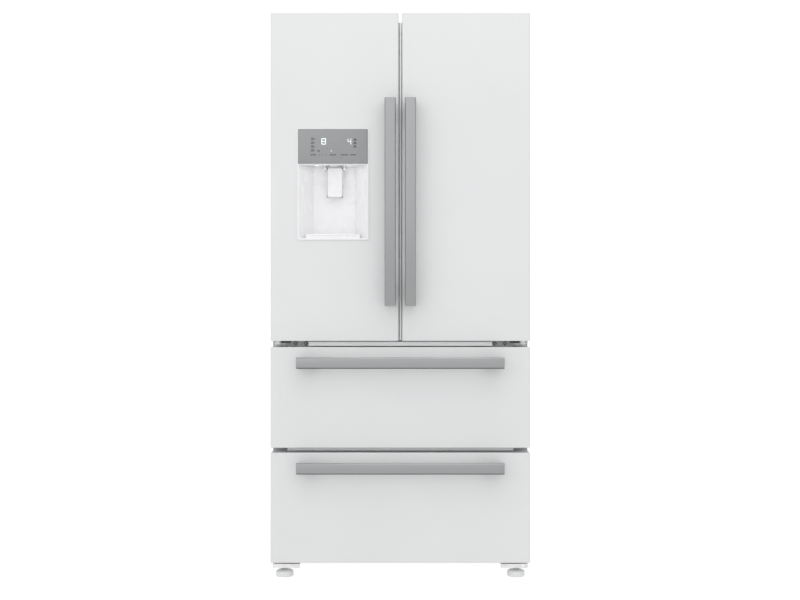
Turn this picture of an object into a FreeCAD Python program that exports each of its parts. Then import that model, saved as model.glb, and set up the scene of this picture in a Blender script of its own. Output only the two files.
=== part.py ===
"""A four-door french door refrigerator, in millimetres.

Two side-hinged upper doors close on a folding centre mullion that rides on the left door. Below them two
freezer drawers run out on telescopic rails. The left door holds a water dispenser fed by a tank behind it.
Frame: +X to the right, +Y to the back, +Z up, with the origin on the floor under the middle of the
bounding box.
"""

import FreeCAD, Part
import math
import os

V = FreeCAD.Vector
X_AXIS = V(1, 0, 0)
Y_AXIS = V(0, 1, 0)
Z_AXIS = V(0, 0, 1)

# ---------------------------------------------------------------- driving dimensions
overall_width = 840.0
overall_height = 1830.0
overall_depth = 745.0  # from the handles to the back panel

front_clearance = 52.0  # floor to the lower drawer front
lower_drawer_height = 356.0
drawer_gap = 16.0
upper_drawer_height = 325.5
middle_gap = 20.5  # upper drawer front to the upper doors
door_gap = 11.0  # between the two upper doors

door_thickness = 58.0
skin = 1.0  # painted sheet of the door and drawer fronts
inner_skin = 2.5  # moulded inner liner of the doors
front_edge_radius = 6.0
cap_height = 12.0  # plastic caps that close a door's top and bottom
lip_height = 19.0  # the front rises this far above the door's body and hides the hinge
lip_depth = 14.0

gasket_thickness = 12.0
gasket_width = 16.0
gasket_inset = 7.0
gasket_compression = 0.4  # the seal stops this short of the face that it meets

handle_reach = 60.0  # door face to the front of the bar
handle_bar = 15.0  # the bar's thickness
handle_width = 35.5
handle_chamfer = 3.0
handle_length = 665.0
handle_post_length = 64.0
handle_post_width = 24.0
door_post_width = 12.0  # door handles stand on narrower posts
door_post_shift = 11.0  # moved to the bar's outer side, so that the opening mullion passes under the bar
handle_edge_distance = 14.7  # middle of the appliance to a door handle's inner edge
door_handle_bottom = 113.0  # upper door's bottom edge to its handle
upper_handle_drop = 31.0  # upper drawer front's top edge to its handle
lower_handle_drop = 26.5

side_inset = 2.0  # the cabinet is this much narrower than the doors, each side
sheet = 1.0  # cabinet sheet steel
liner = 2.0  # cabinet liner wall
side_wall = 50.0
top_wall = 30.0
back_wall = 72.5
back_inset = 4.0  # the back panel lies this far inside the rear edges of the sides and top
floor_wall = 50.0
divider_height = 70.0  # insulated floor between fridge and freezer
lower_beam_height = 64.0
lower_beam_depth = 52.0
middle_nose_half = 298.0  # the crossbeams' noses close the gaps between the fronts
middle_nose_reach = 48.0
lower_nose_reach = 36.0
nose_clearance = 3.0
hinge_clearance = 16.0  # top of the cabinet to the top of the doors
cabinet_clearance = 56.0  # floor to the cabinet's bottom sheet

machine_depth = 182.5  # rear compartment that holds the compressor
machine_height = 275.0

pin_radius = 5.0
running_clearance = 0.08  # radial, in every bore that turns on a pin
pin_inset = 22.0  # door's hinge-side edge to the pin
pin_setback = 32.0  # door face to the pin
hinge_plate = 3.0
hinge_arm_radius = 12.0
hinge_plate_length = 100.0  # of the plate on the crossbeam, inwards from the pin

mullion_width = 68.0
mullion_thickness = 22.0
mullion_axis_gap = 6.0  # beam's edge to its hinge axis
mullion_end_gap = 13.0
mullion_knuckle_radius = 5.0
mullion_knuckle_length = 36.0
mullion_pin_radius = 2.5
guide_pin_radius = 4.0
guide_thickness = 12.0

ridge_depth = 48.0  # raised frame on a door's inner liner
ridge_width = 26.0
ridge_side_gap = 12.0  # liner wall of the cabinet to the raised frame
ridge_end_gap = 11.0

dispenser_width = 230.0
dispenser_center_x = -218.0
dispenser_bottom = 326.5  # upper door's bottom edge to the dispenser
recess_height = 246.0
panel_height = 114.0
panel_proud = 2.0
panel_depth = 24.0
recess_rim = 5.0
recess_depth = 72.0
recess_back_width = 136.0
recess_wall = 2.5
skin_opening_clearance = 0.4
paddle_offset = 4.0  # to the right of the dispenser's middle
paddle_width = 54.0
paddle_height = 100.0
paddle_thickness = 6.0
paddle_setback = 50.0
paddle_pin_radius = 2.5
paddle_axis_drop = 7.0  # recess ceiling to the paddle's pins
tray_height = 19.0
tray_clearance = 3.0
tray_travel = 80.0

tank_height = 196.0
tank_depth = 92.0
tank_wall = 2.0
tap_radius = 7.0

ledge_width = 8.0  # moulded ledges that carry the shelves
ledge_height = 6.0
duct_depth = 26.0
duct_half = 105.0
shelf_glass = 4.0
shelf_front_gap = 112.0  # cabinet's front to the shelves
shelf_heights = (735.0, 490.0)  # fridge floor to the two loose shelves
crisper_height = 236.0
crisper_cover_height = 246.0
bin_wall = 2.5
bin_depth = 104.0
bin_height = 92.0
left_bin_rise = 150.0  # lowest bin to the next one
upper_bin_drop = 128.0
right_bin_rise = 235.0
dairy_height = 118.0
dairy_head_room = 26.0
dairy_rod_radius = 2.5
dairy_cover_thickness = 3.0

upper_drawer_travel = 400.0
lower_drawer_travel = 330.0
rail_height = 40.0
rail_sheet = 1.5
rail_play = 1.0
rail_depth = 12.0
basket_wall = 2.5
basket_clearance = 8.0

foot_radius = 28.5
foot_height = 21.0
foot_stem_radius = 5.0
foot_inset = 42.0  # appliance side to the foot's axis
foot_setback = 50.0  # door face to the foot's axis
foot_bracket_width = 88.0
foot_bracket_inset = 6.0
roller_radius = 22.0
roller_width = 24.0
roller_axle_radius = 4.0
roller_inset = 60.0
roller_setback = 72.0  # back panel to the roller's axle

fan_radius = 50.0
evaporator_fan_radius = 46.0
fan_axle_radius = 3.0
fan_blades = 5
fan_pitch_deg = 24.0
evaporator_space = 68.0  # depth of the air channel behind the freezer
evaporator_fan_drop = 84.0
compressor_x = -215.0
compressor_setback = 92.0
compressor_radius = 72.0
compressor_height = 150.0
condenser_x = (110.0, 300.0)
fan_x = 40.0
fan_rise = 96.0

# ---------------------------------------------------------------- places worked out from them
half_width = overall_width / 2
handle_front_y = -overall_depth / 2
face_y = handle_front_y + handle_reach
back_y = face_y + door_thickness  # back plane of the doors
front_y = back_y + gasket_thickness  # front plane of the cabinet
rear_y = overall_depth / 2
panel_y = rear_y - back_inset  # outer plane of the back panel and of the machine cover

lower_front_z = (front_clearance, front_clearance + lower_drawer_height)
upper_front_z = (lower_front_z[1] + drawer_gap, lower_front_z[1] + drawer_gap + upper_drawer_height)
door_z = upper_front_z[1] + middle_gap
door_body_top = overall_height - lip_height

cabinet_half = half_width - side_inset
cabinet_top = overall_height - hinge_clearance
cavity_half = cabinet_half - side_wall
middle_gap_z = upper_front_z[1] + middle_gap / 2
drawer_gap_z = lower_front_z[1] + drawer_gap / 2
fridge_floor = middle_gap_z + divider_height / 2
fridge_ceiling = cabinet_top - top_wall
freezer_ceiling = middle_gap_z - divider_height / 2
freezer_floor = cabinet_clearance + floor_wall
cavity_back = rear_y - back_wall
machine_front = rear_y - machine_depth
machine_top = cabinet_clearance + machine_height
step_back = machine_front - floor_wall  # back of the lower freezer space
step_top = machine_top + floor_wall

pin_x = half_width - pin_inset
pin_y = face_y + pin_setback

mullion_half = mullion_width / 2
mullion_axis_x = -(mullion_half + mullion_axis_gap)
mullion_y = front_y + gasket_compression
mullion_axis_y = mullion_y + mullion_thickness / 2
mullion_z = (fridge_floor + mullion_end_gap, fridge_ceiling - mullion_end_gap)

ridge_outer_x = cavity_half - ridge_side_gap
ridge_inner_x = -mullion_axis_x + mullion_width / 4 - 1.0  # leaves room for the folded mullion
ridge_z = (fridge_floor + ridge_end_gap, fridge_ceiling - ridge_end_gap - guide_thickness)

dispenser_x = (dispenser_center_x - dispenser_width / 2, dispenser_center_x + dispenser_width / 2)
dispenser_z = door_z + dispenser_bottom
recess_top = dispenser_z + recess_height
panel_top = recess_top + panel_height
recess_back_y = face_y + recess_depth
bulge_wall = 20.0
bulge_y = recess_back_y + recess_wall + bulge_wall
bulge_half = dispenser_width / 2 + 8.0
bulge_z = (dispenser_z - 10.0, recess_top + 10.0)
tap_z = recess_top + 21.0
tap_y = face_y + 38.0

paddle_x = dispenser_center_x + paddle_offset
paddle_axis_y = face_y + paddle_setback
paddle_axis_z = recess_top - recess_wall - paddle_axis_drop

shelf_front = front_y + shelf_front_gap
shelf_back = cavity_back - duct_depth - 6.0
bin_low = ridge_z[0] + ridge_width + 6.0
left_bin_heights = (bin_low, bin_low + left_bin_rise, ridge_z[1] - ridge_width - upper_bin_drop)
right_bin_heights = (bin_low, bin_low + right_bin_rise, bin_low + 2 * right_bin_rise)
dairy_z = ridge_z[1] - ridge_width - dairy_head_room - dairy_height
dairy_axis_y = back_y + 14.0
dairy_axis_z = dairy_z + dairy_height - 10.0

rail_front = front_y + 4.0
upper_rail_length = upper_drawer_travel + 45.0
lower_rail_length = min(lower_drawer_travel + 40.0, step_back - 8.0 - rail_front)
upper_rail_z = (drawer_gap_z + lower_beam_height / 2 + freezer_ceiling) / 2 + 30.0
lower_rail_z = (freezer_floor + drawer_gap_z - lower_beam_height / 2) / 2 + 55.0
upper_basket_z = drawer_gap_z + lower_beam_height / 2 + basket_clearance
lower_basket_z = freezer_floor + basket_clearance

cover_front = cavity_back - evaporator_space
evaporator_fan_z = freezer_ceiling - evaporator_fan_drop
compressor_y = machine_front + compressor_setback
coil_y = (machine_front + 30.0, panel_y - 30.0)
fan_y = (coil_y[0] + coil_y[1]) / 2
fan_z = cabinet_clearance + fan_rise

foot_x = half_width - foot_inset
foot_y = face_y + foot_setback
roller_x = half_width - roller_inset
roller_y = rear_y - roller_setback

post_depth = handle_reach - handle_bar
parts = {}


# ---------------------------------------------------------------- shape helpers
def block(x0, x1, y0, y1, z0, z1):
    return Part.makeBox(x1 - x0, y1 - y0, z1 - z0, V(x0, y0, z0))


def rod(radius, base, axis, length):
    return Part.makeCylinder(radius, length, base, axis)


def mirrored(shape):
    return shape.mirror(V(0, 0, 0), X_AXIS)


def prism(points, z0, z1):
    """A flat outline of (x, y) points carried up from z0 to z1."""
    wire = Part.makePolygon([V(x, y, z0) for x, y in points] + [V(points[0][0], points[0][1], z0)])
    return Part.Face(wire).extrude(V(0, 0, z1 - z0))


def side_prism(points, x0, x1):
    """A side outline of (y, z) points carried across from x0 to x1."""
    wire = Part.makePolygon([V(x0, y, z) for y, z in points] + [V(x0, points[0][0], points[0][1])])
    return Part.Face(wire).extrude(V(x1 - x0, 0, 0))


def frame_ring(x0, x1, z0, z1, width, y0, y1):
    """A rectangular ring that stands in the XZ plane."""
    outer = block(x0, x1, y0, y1, z0, z1)
    return outer.cut(block(x0 + width, x1 - width, y0, y1, z0 + width, z1 - width))


def straight_edges(shape, axis, where):
    found = []
    for edge in shape.Edges:
        if len(edge.Vertexes) < 2 or edge.Curve.TypeId != "Part::GeomLine":
            continue
        along = edge.Vertexes[1].Point - edge.Vertexes[0].Point
        along.normalize()
        if abs(abs(along.dot(axis)) - 1) < 1e-6 and where(edge.CenterOfMass):
            found.append(edge)
    return found


def rounded(shape, radius, axis, where=lambda p: True):
    """Rounds the straight edges that run along an axis and whose middle passes the test."""
    return shape.makeFillet(radius, straight_edges(shape, axis, where))


def rounded_block(x0, x1, y0, y1, z0, z1, radius, axis):
    return rounded(block(x0, x1, y0, y1, z0, z1), radius, axis)


def fused(shapes):
    joined = shapes[0].fuse(shapes[1:])
    return joined.removeSplitter()


def both_sides(shapes):
    return [copy for shape in shapes for copy in (shape, mirrored(shape))]


def placed(shapes, base, rotation=None):
    """Copies of shapes, turned by an (axis, degrees) pair and then moved to base."""
    out = []
    for shape in shapes:
        copy = shape.copy()
        if rotation is not None:
            copy.rotate(V(0, 0, 0), rotation[0], rotation[1])
        copy.translate(base)
        out.append(copy)
    return out


# ---------------------------------------------------------------- cabinet
def cabinet_wrapper():
    """Painted steel sides and top, with flanges turned in along the front, and the back panel."""
    outer = block(-cabinet_half, cabinet_half, front_y, rear_y, cabinet_clearance, cabinet_top)
    inner_half = cabinet_half - sheet
    inner = block(-inner_half, inner_half, front_y + sheet, rear_y, cabinet_clearance, cabinet_top - sheet)
    liner_half = cavity_half + liner
    doorway = block(
        -liner_half, liner_half, front_y, front_y + sheet, cabinet_clearance, fridge_ceiling + liner
    )
    half = cabinet_half - sheet
    back = block(-half, half, panel_y - sheet, panel_y, cabinet_clearance + sheet, cabinet_top - sheet)
    back = back.cut(block(-liner_half, liner_half, panel_y - sheet, panel_y, cabinet_clearance, machine_top))
    return [outer.cut(inner).cut(doorway), back]


def cabinet_insulation():
    """Rigid foam between the steel and the liners, in slabs that meet face to face."""
    out = cabinet_half - sheet
    liner_half = cavity_half + liner
    y0 = front_y + sheet
    y1 = panel_y - sheet
    bottom = cabinet_clearance + sheet
    top = cabinet_top - sheet
    back = cavity_back + liner
    beam_face = 2.0
    side = block(liner_half, out, y0, y1, bottom, top)
    return [
        side,
        mirrored(side),
        block(-liner_half, liner_half, y0, y1, fridge_ceiling + liner, top),
        block(-liner_half, liner_half, back, y1, step_top - liner, fridge_ceiling + liner),
        block(
            -liner_half, liner_half, front_y + beam_face, back, freezer_ceiling + liner, fridge_floor - liner
        ),
        block(-liner_half, liner_half, step_back + liner, y1, machine_top, step_top - liner),
        block(-liner_half, liner_half, step_back + liner, machine_front, bottom, machine_top),
        block(-liner_half, liner_half, y0, step_back + liner, bottom, freezer_floor - liner),
    ]


def fridge_liner():
    """Moulded liner of the fridge space, with ledges that carry the shelves."""
    outer = block(
        -cavity_half - liner,
        cavity_half + liner,
        front_y,
        cavity_back + liner,
        fridge_floor - liner,
        fridge_ceiling + liner,
    )
    inner = block(-cavity_half, cavity_half, front_y, cavity_back, fridge_floor, fridge_ceiling)
    shell = outer.cut(inner)
    ledges = []
    for height in shelf_heights + (crisper_cover_height,):
        z = fridge_floor + height
        ledge = block(
            cavity_half - ledge_width, cavity_half, shelf_front, cavity_back, z - ledge_height, z
        )
        ledges += [ledge, mirrored(ledge)]
    return [fused([shell] + ledges)]


def freezer_liner():
    """Moulded liner of the freezer space, stepped over the rear machine compartment."""

    def outline(grow):
        return [
            (front_y, freezer_floor - grow),
            (step_back + grow, freezer_floor - grow),
            (step_back + grow, step_top - grow),
            (cavity_back + grow, step_top - grow),
            (cavity_back + grow, freezer_ceiling + grow),
            (front_y, freezer_ceiling + grow),
        ]

    outer = side_prism(outline(liner), -cavity_half - liner, cavity_half + liner)
    return [outer.cut(side_prism(outline(0), -cavity_half, cavity_half))]


def crossbeams():
    """The steel faces that the door and drawer seals meet between the openings."""
    liner_half = cavity_half + liner
    middle = block(
        -liner_half, liner_half, front_y, front_y + 2.0, freezer_ceiling + liner, fridge_floor - liner
    )
    middle = fused([middle, beam_nose(middle_nose_half, middle_nose_reach, middle_gap_z, middle_gap)])
    z0 = drawer_gap_z - lower_beam_height / 2
    z1 = drawer_gap_z + lower_beam_height / 2
    tube = block(-cavity_half, cavity_half, front_y, front_y + lower_beam_depth, z0, z1)
    hollow = block(
        -cavity_half,
        cavity_half,
        front_y + rail_sheet,
        front_y + lower_beam_depth - rail_sheet,
        z0 + rail_sheet,
        z1 - rail_sheet,
    )
    tube = fused([tube, beam_nose(cavity_half, lower_nose_reach, drawer_gap_z, drawer_gap)])
    return [middle, tube.cut(hollow)]


def beam_nose(half, reach, z, gap):
    """The part of a crossbeam that comes forward and closes most of the gap between two fronts."""
    half_height = gap / 2 - nose_clearance
    nose = block(-half, half, front_y - reach, front_y, z - half_height, z + half_height)
    return rounded(nose, 1.5, X_AXIS, lambda p: p.y < front_y - reach + 1.0)


def base_frame():
    """Bottom sheet, side rails, front foot brackets and rear roller forks."""
    half = cabinet_half - sheet
    top = cabinet_clearance + sheet
    liner_half = cavity_half + liner
    bottom = block(-half, half, front_y + sheet, panel_y - sheet, cabinet_clearance, top)
    lip_top = freezer_floor - liner
    flange = block(-liner_half, liner_half, front_y, front_y + sheet, cabinet_clearance, lip_top)
    pieces = [fused([bottom, flange])]
    rail = rounded(
        block(
            cavity_half - 20.0,
            half - 8.0,
            front_y + 20.0,
            roller_y - roller_radius - 12.0,
            cabinet_clearance - 20.0,
            cabinet_clearance,
        ),
        3.0,
        Y_AXIS,
        lambda p: p.z < cabinet_clearance - 10.0,
    )
    for piece in (rail, foot_bracket(), roller_fork()):
        pieces += [piece, mirrored(piece)]
    return pieces


def foot_bracket():
    """A pressed plate with a front skirt that carries a levelling foot ahead of the cabinet."""
    x1 = half_width - foot_bracket_inset
    x0 = x1 - foot_bracket_width
    y0 = foot_y - foot_radius - 6.0
    plate_top = cabinet_clearance - 10.0
    plate = block(x0, x1, y0, front_y + 20.0, plate_top - 4.0, plate_top)
    skirt = block(x0, x1, y0, y0 + 3.0, plate_top - 13.0, plate_top - 4.0)
    side_skirt = block(x1 - 3.0, x1, y0, front_y + 20.0, plate_top - 13.0, plate_top - 4.0)
    riser = block(x0, x1, front_y + 14.0, front_y + 20.0, plate_top, cabinet_clearance)
    shape = fused([plate, skirt, side_skirt, riser])
    shape = rounded(shape, 6.0, Z_AXIS, lambda p: p.y < y0 + 1.0 and p.z > plate_top - 9.0)
    bore = rod(foot_stem_radius + running_clearance, V(foot_x, foot_y, plate_top - 20.0), Z_AXIS, 30.0)
    return shape.cut(bore)


def roller_fork():
    """An inverted channel with the axle of a rear roller."""
    x0 = roller_x - roller_width / 2 - 4.0
    x1 = roller_x + roller_width / 2 + 4.0
    y0 = roller_y - roller_radius - 6.0
    y1 = roller_y + roller_radius + 6.0
    top = block(x0, x1, y0, y1, cabinet_clearance - 3.0, cabinet_clearance)
    cheeks = []
    for x in (x0, x1 - 2.0):
        cheek = side_prism(
            [
                (y0, cabinet_clearance - 3.0),
                (y1, cabinet_clearance - 3.0),
                (roller_y + 9.0, roller_radius - 9.0),
                (roller_y - 9.0, roller_radius - 9.0),
            ],
            x,
            x + 2.0,
        )
        cheeks.append(cheek)
    axle = rod(roller_axle_radius, V(x0 - 2.0, roller_y, roller_radius), X_AXIS, x1 - x0 + 4.0)
    return fused([top, axle] + cheeks)


def door_hinges():
    """Upper arms on the cabinet's top and middle arms on the crossbeam, each with its pin."""
    arm_half = hinge_arm_radius
    upper_top = cabinet_top + hinge_plate
    upper = fused(
        [
            rod(arm_half, V(pin_x, pin_y, cabinet_top), Z_AXIS, hinge_plate),
            block(pin_x - 22.0, pin_x + 6.0, pin_y, front_y + 70.0, cabinet_top, upper_top),
            block(pin_x - 60.0, pin_x + 6.0, front_y + 8.0, front_y + 70.0, cabinet_top, upper_top),
            rod(pin_radius, V(pin_x, pin_y, door_body_top - cap_height + 1.0), Z_AXIS,
                upper_top - door_body_top + cap_height - 1.0),
        ]
    )
    arm_z = middle_gap_z - hinge_plate / 2
    collar_radius = pin_radius + 4.0
    middle = fused(
        [
            rod(arm_half, V(pin_x, pin_y, arm_z), Z_AXIS, hinge_plate),
            block(pin_x - 26.0, pin_x + arm_half, pin_y, front_y, arm_z, arm_z + hinge_plate),
            block(pin_x - hinge_plate_length, pin_x + 14.0, front_y - hinge_plate, front_y,
                  upper_front_z[1] + 2.0, door_z - 2.0),
            rod(collar_radius, V(pin_x, pin_y, arm_z), Z_AXIS, door_z - 0.5 - arm_z),
            rod(pin_radius, V(pin_x, pin_y, arm_z), Z_AXIS, door_z + cap_height - 1.0 - arm_z),
        ]
    )
    return [upper, mirrored(upper), middle, mirrored(middle)]


def hinge_covers():
    """Moulded covers over the upper hinge plates."""
    x0 = pin_x - 66.0
    x1 = cabinet_half - 3.0
    y0 = front_y + 3.0
    y1 = front_y + 84.0
    top = overall_height - 1.0
    cover = block(x0, x1, y0, y1, cabinet_top, top)
    cover = rounded(cover, 8.0, Z_AXIS)
    cover = cover.makeChamfer(3.0, [e for e in cover.Edges if abs(e.CenterOfMass.z - top) < 1e-6])
    hollow = block(x0 + 3.0, x1 - 3.0, y0 + 3.0, y1 - 3.0, cabinet_top, top - 4.0)
    mouth = block(pin_x - 22.5, pin_x + 6.5, y0, y0 + 3.0, cabinet_top, cabinet_top + hinge_plate + 0.5)
    shape = cover.cut(hollow).cut(mouth)
    return [shape, mirrored(shape)]


def mullion_guides():
    """Blocks at the top and bottom of the fridge opening whose slots lead the mullion's pins."""
    slot_half = guide_pin_radius + 2.0
    reach = -mullion_axis_x
    y1 = mullion_axis_y + reach + slot_half + 4.0
    pieces = []
    for z0 in (fridge_ceiling - guide_thickness, fridge_floor):
        z1 = z0 + guide_thickness
        body = block(-mullion_half + 8.0, mullion_half - 4.0, front_y + 1.0, y1, z0, z1)
        body = rounded(body, 5.0, Z_AXIS)
        mouth = block(-slot_half, slot_half + 3.0, front_y, mullion_axis_y, z0, z1)
        axis = V(mullion_axis_x, mullion_axis_y, z0)
        sweep = rod(reach + slot_half, axis, Z_AXIS, guide_thickness)
        core = rod(reach - slot_half, axis, Z_AXIS, guide_thickness)
        quarter = sweep.cut(core).common(
            block(mullion_axis_x, slot_half, mullion_axis_y - slot_half, y1, z0, z1)
        )
        pieces.append(body.cut(mouth.fuse(quarter)).Solids)
    return [solid for found in pieces for solid in found]


# ---------------------------------------------------------------- fridge interior
def glass_shelves():
    half = cavity_half - 2.0
    panes = []
    for height in shelf_heights + (crisper_cover_height,):
        z = fridge_floor + height
        panes.append(block(-half, half, shelf_front + 4.0, shelf_back, z, z + shelf_glass))
    return panes


def shelf_trims():
    """A moulded nose along the front of each pane and a raised stop along its back."""
    half = cavity_half - 2.0
    trims = []
    for height in shelf_heights + (crisper_cover_height,):
        z = fridge_floor + height
        front = block(-half, half, shelf_front - 8.0, shelf_front + 14.0, z - 5.0, z + 8.0)
        front = rounded(front, 4.0, X_AXIS, lambda p: p.y < shelf_front)
        groove = block(-half, half, shelf_front + 4.0, shelf_front + 14.0, z, z + shelf_glass)
        notch = block(half - ledge_width, half, shelf_front, shelf_front + 14.0, z - 5.0, z)
        stop = block(-half, half, shelf_back - 8.0, shelf_back, z + shelf_glass, z + shelf_glass + 12.0)
        front = front.cut(groove).cut(notch).cut(mirrored(notch))
        trims += [solid for solid in front.Solids] + [stop]
    return trims


def crispers():
    """Two clear vegetable drawers side by side under the lowest pane."""
    x0 = 4.0
    x1 = cavity_half - 4.0
    y0 = shelf_front - 6.0
    z0 = fridge_floor + 4.0
    z1 = fridge_floor + crisper_height
    wall = 3.0
    body = rounded_block(x0, x1, y0, shelf_back - 4.0, z0, z1, 10.0, Z_AXIS)
    hollow = rounded_block(
        x0 + wall, x1 - wall, y0 + wall, shelf_back - 4.0 - wall, z0 + wall, z1, 7.0, Z_AXIS
    )
    feet = [
        block(x, x + 8.0, y0 + 20.0, shelf_back - 40.0, fridge_floor, z0)
        for x in (x0 + 20.0, x1 - 28.0)
    ]
    grip = block(x0 + 60.0, x1 - 60.0, y0 - 12.0, y0, z1 - 26.0, z1 - 18.0)
    grip = rounded(grip, 3.5, X_AXIS, lambda p: p.y < y0 - 6.0)
    right = fused([body.cut(hollow), grip] + feet)
    return [right, mirrored(right)]


def air_ducts():
    """Fridge air channel with outlet slots, and the cover in front of the freezer's evaporator."""
    half = duct_half
    y0 = cavity_back - duct_depth
    z0 = fridge_floor + 20.0
    z1 = fridge_ceiling - 24.0
    duct = block(-half, half, y0, cavity_back, z0, z1)
    duct = rounded(duct, 10.0, Z_AXIS, lambda p: p.y < cavity_back - 5.0)
    duct = duct.cut(block(-half + 4.0, half - 4.0, y0 + 3.0, cavity_back, z0 + 4.0, z1 - 4.0))
    slot_pitch = (z1 - z0) / 6
    for i in range(5):
        z = z0 + slot_pitch * (i + 1)
        for x in (-60.0, 20.0):
            duct = duct.cut(block(x, x + 40.0, y0 - 1.0, y0 + 4.0, z, z + 5.0))
    return [duct, evaporator_cover()]


def evaporator_cover():
    half = cavity_half - rail_depth - 14.0
    z0 = step_top + 4.0
    z1 = freezer_ceiling - 6.0
    wall = 3.0
    shell = block(-half, half, cover_front, cavity_back, z0, z1)
    shell = shell.cut(block(-half + wall, half - wall, cover_front + wall, cavity_back, z0, z1 - wall))
    opening = rod(evaporator_fan_radius + 4.0, V(0, cover_front - 1.0, evaporator_fan_z), Y_AXIS, 8.0)
    shell = shell.cut(opening)
    y1 = cover_front + wall
    for i in range(9):
        x = -200.0 + 50.0 * i
        shell = shell.cut(block(x - 17.0, x + 17.0, cover_front - 1.0, y1 + 1.0, z0 + 14.0, z0 + 20.0))
    reach = evaporator_fan_radius + 3.0
    center = V(0, cover_front, evaporator_fan_z)
    ring = rod(evaporator_fan_radius + 4.0, center, Y_AXIS, wall)
    ring = ring.cut(rod(evaporator_fan_radius + 1.5, center, Y_AXIS, wall))
    z = evaporator_fan_z
    spokes = [
        block(-reach, reach, cover_front, y1, z + dz - 1.2, z + dz + 1.2)
        for dz in (-30.0, -15.0, 0.0, 15.0, 30.0)
    ]
    strut = block(-1.6, 1.6, cover_front, y1, z - reach, z + reach)
    return fused([shell, ring, strut] + spokes)


def evaporator_motor():
    """The fan's motor on its cross bar, with the axle."""
    z = evaporator_fan_z
    half = evaporator_fan_radius + 12.0
    motor = rod(16.0, V(0, cover_front + 32.0, z), Y_AXIS, evaporator_space - 32.0)
    axle = rod(fan_axle_radius, V(0, cover_front + 12.0, z), Y_AXIS, 22.0)
    mount = block(-half, half, cavity_back - 4.0, cavity_back, z - 8.0, z + 8.0)
    return fused([motor, axle, mount])


def fin_stack(x0, x1, y0, y1, z0, z1, fins, tube_rows, tube_radius):
    """A heat exchanger: upright fins threaded on level tubes."""
    pieces = []
    pitch = (x1 - x0) / (fins - 1)
    for i in range(fins):
        x = x0 + pitch * i
        pieces.append(block(x - 0.6, x + 0.6, y0, y1, z0, z1))
    rows = []
    for i in range(tube_rows):
        z = z0 + (z1 - z0) * (i + 0.5) / tube_rows
        for y in (y0 + (y1 - y0) * 0.28, y0 + (y1 - y0) * 0.72):
            rows.append(rod(tube_radius, V(x0 - 8.0, y, z), X_AXIS, x1 - x0 + 16.0))
    return fused(pieces + rows)


def evaporator():
    y0 = cover_front + 8.0
    y1 = cavity_back
    coil = fin_stack(-220.0, 220.0, y0, y1, step_top + 12.0, step_top + 132.0, 23, 4, 4.0)
    return [coil, evaporator_motor()]


def evaporator_fan():
    return [fan(evaporator_fan_radius, 12.0, 14.0, V(0, cover_front + 14.0, evaporator_fan_z), Y_AXIS)]


def fan(radius, hub_radius, depth, base, axis):
    """A hub with five pitched blades, bored for its axle."""
    hub = rod(hub_radius, V(0, 0, 0), Z_AXIS, depth)
    blades = []
    for i in range(fan_blades):
        blade = block(hub_radius - 3.0, radius, -radius * 0.3, radius * 0.3, -0.8, 0.8)
        blade = rounded(blade, radius * 0.2, Z_AXIS, lambda p: p.x > hub_radius)
        blade.rotate(V(0, 0, 0), X_AXIS, fan_pitch_deg)
        blade.translate(V(0, 0, depth / 2))
        blade.rotate(V(0, 0, 0), Z_AXIS, 360.0 / fan_blades * i)
        blades.append(blade)
    body = fused([hub] + blades)
    body = body.common(rod(radius, V(0, 0, 0), Z_AXIS, depth))
    body = body.cut(rod(fan_axle_radius + running_clearance, V(0, 0, -1.0), Z_AXIS, depth + 2.0))
    turn = FreeCAD.Rotation(Z_AXIS, axis)
    body.Placement = FreeCAD.Placement(base, turn)
    return body


# ---------------------------------------------------------------- machine compartment
def compressor():
    """Welded pot on a foot plate, rubber mounts, terminal box and the two pipe stubs."""
    base = cabinet_clearance + sheet
    foot = base + 16.0
    pot = rod(compressor_radius, V(compressor_x, compressor_y, foot), Z_AXIS, compressor_height)

    def rim(height):
        return [e for e in pot.Edges if abs(e.CenterOfMass.z - height) < 1e-6 and e.Length > 100.0]

    pot = pot.makeFillet(40.0, rim(foot + compressor_height))
    pot = pot.makeFillet(14.0, rim(foot))
    seam = rod(compressor_radius + 3.0, V(compressor_x, compressor_y, base + 84.0), Z_AXIS, 5.0)
    plate = rounded_block(
        compressor_x - 100.0, compressor_x + 100.0, compressor_y - 64.0, compressor_y + 64.0,
        base + 14.0, base + 17.0, 14.0, Z_AXIS,
    )
    stubs = [
        rod(4.0, V(compressor_x + 68.0, compressor_y + dy, base + dz), X_AXIS, 28.0)
        for dy, dz in ((20.0, 60.0), (-20.0, 120.0))
    ]
    body = fused([pot, seam, plate] + stubs)
    box = rounded_block(
        compressor_x - 106.0, compressor_x - 74.0, compressor_y - 26.0, compressor_y + 26.0,
        base + 60.0, base + 116.0, 6.0, X_AXIS,
    ).cut(body)
    mounts = [
        rod(11.0, V(compressor_x + dx, compressor_y + dy, base), Z_AXIS, 14.0)
        for dx in (-84.0, 84.0)
        for dy in (-48.0, 48.0)
    ]
    return [body, box] + mounts


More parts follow.
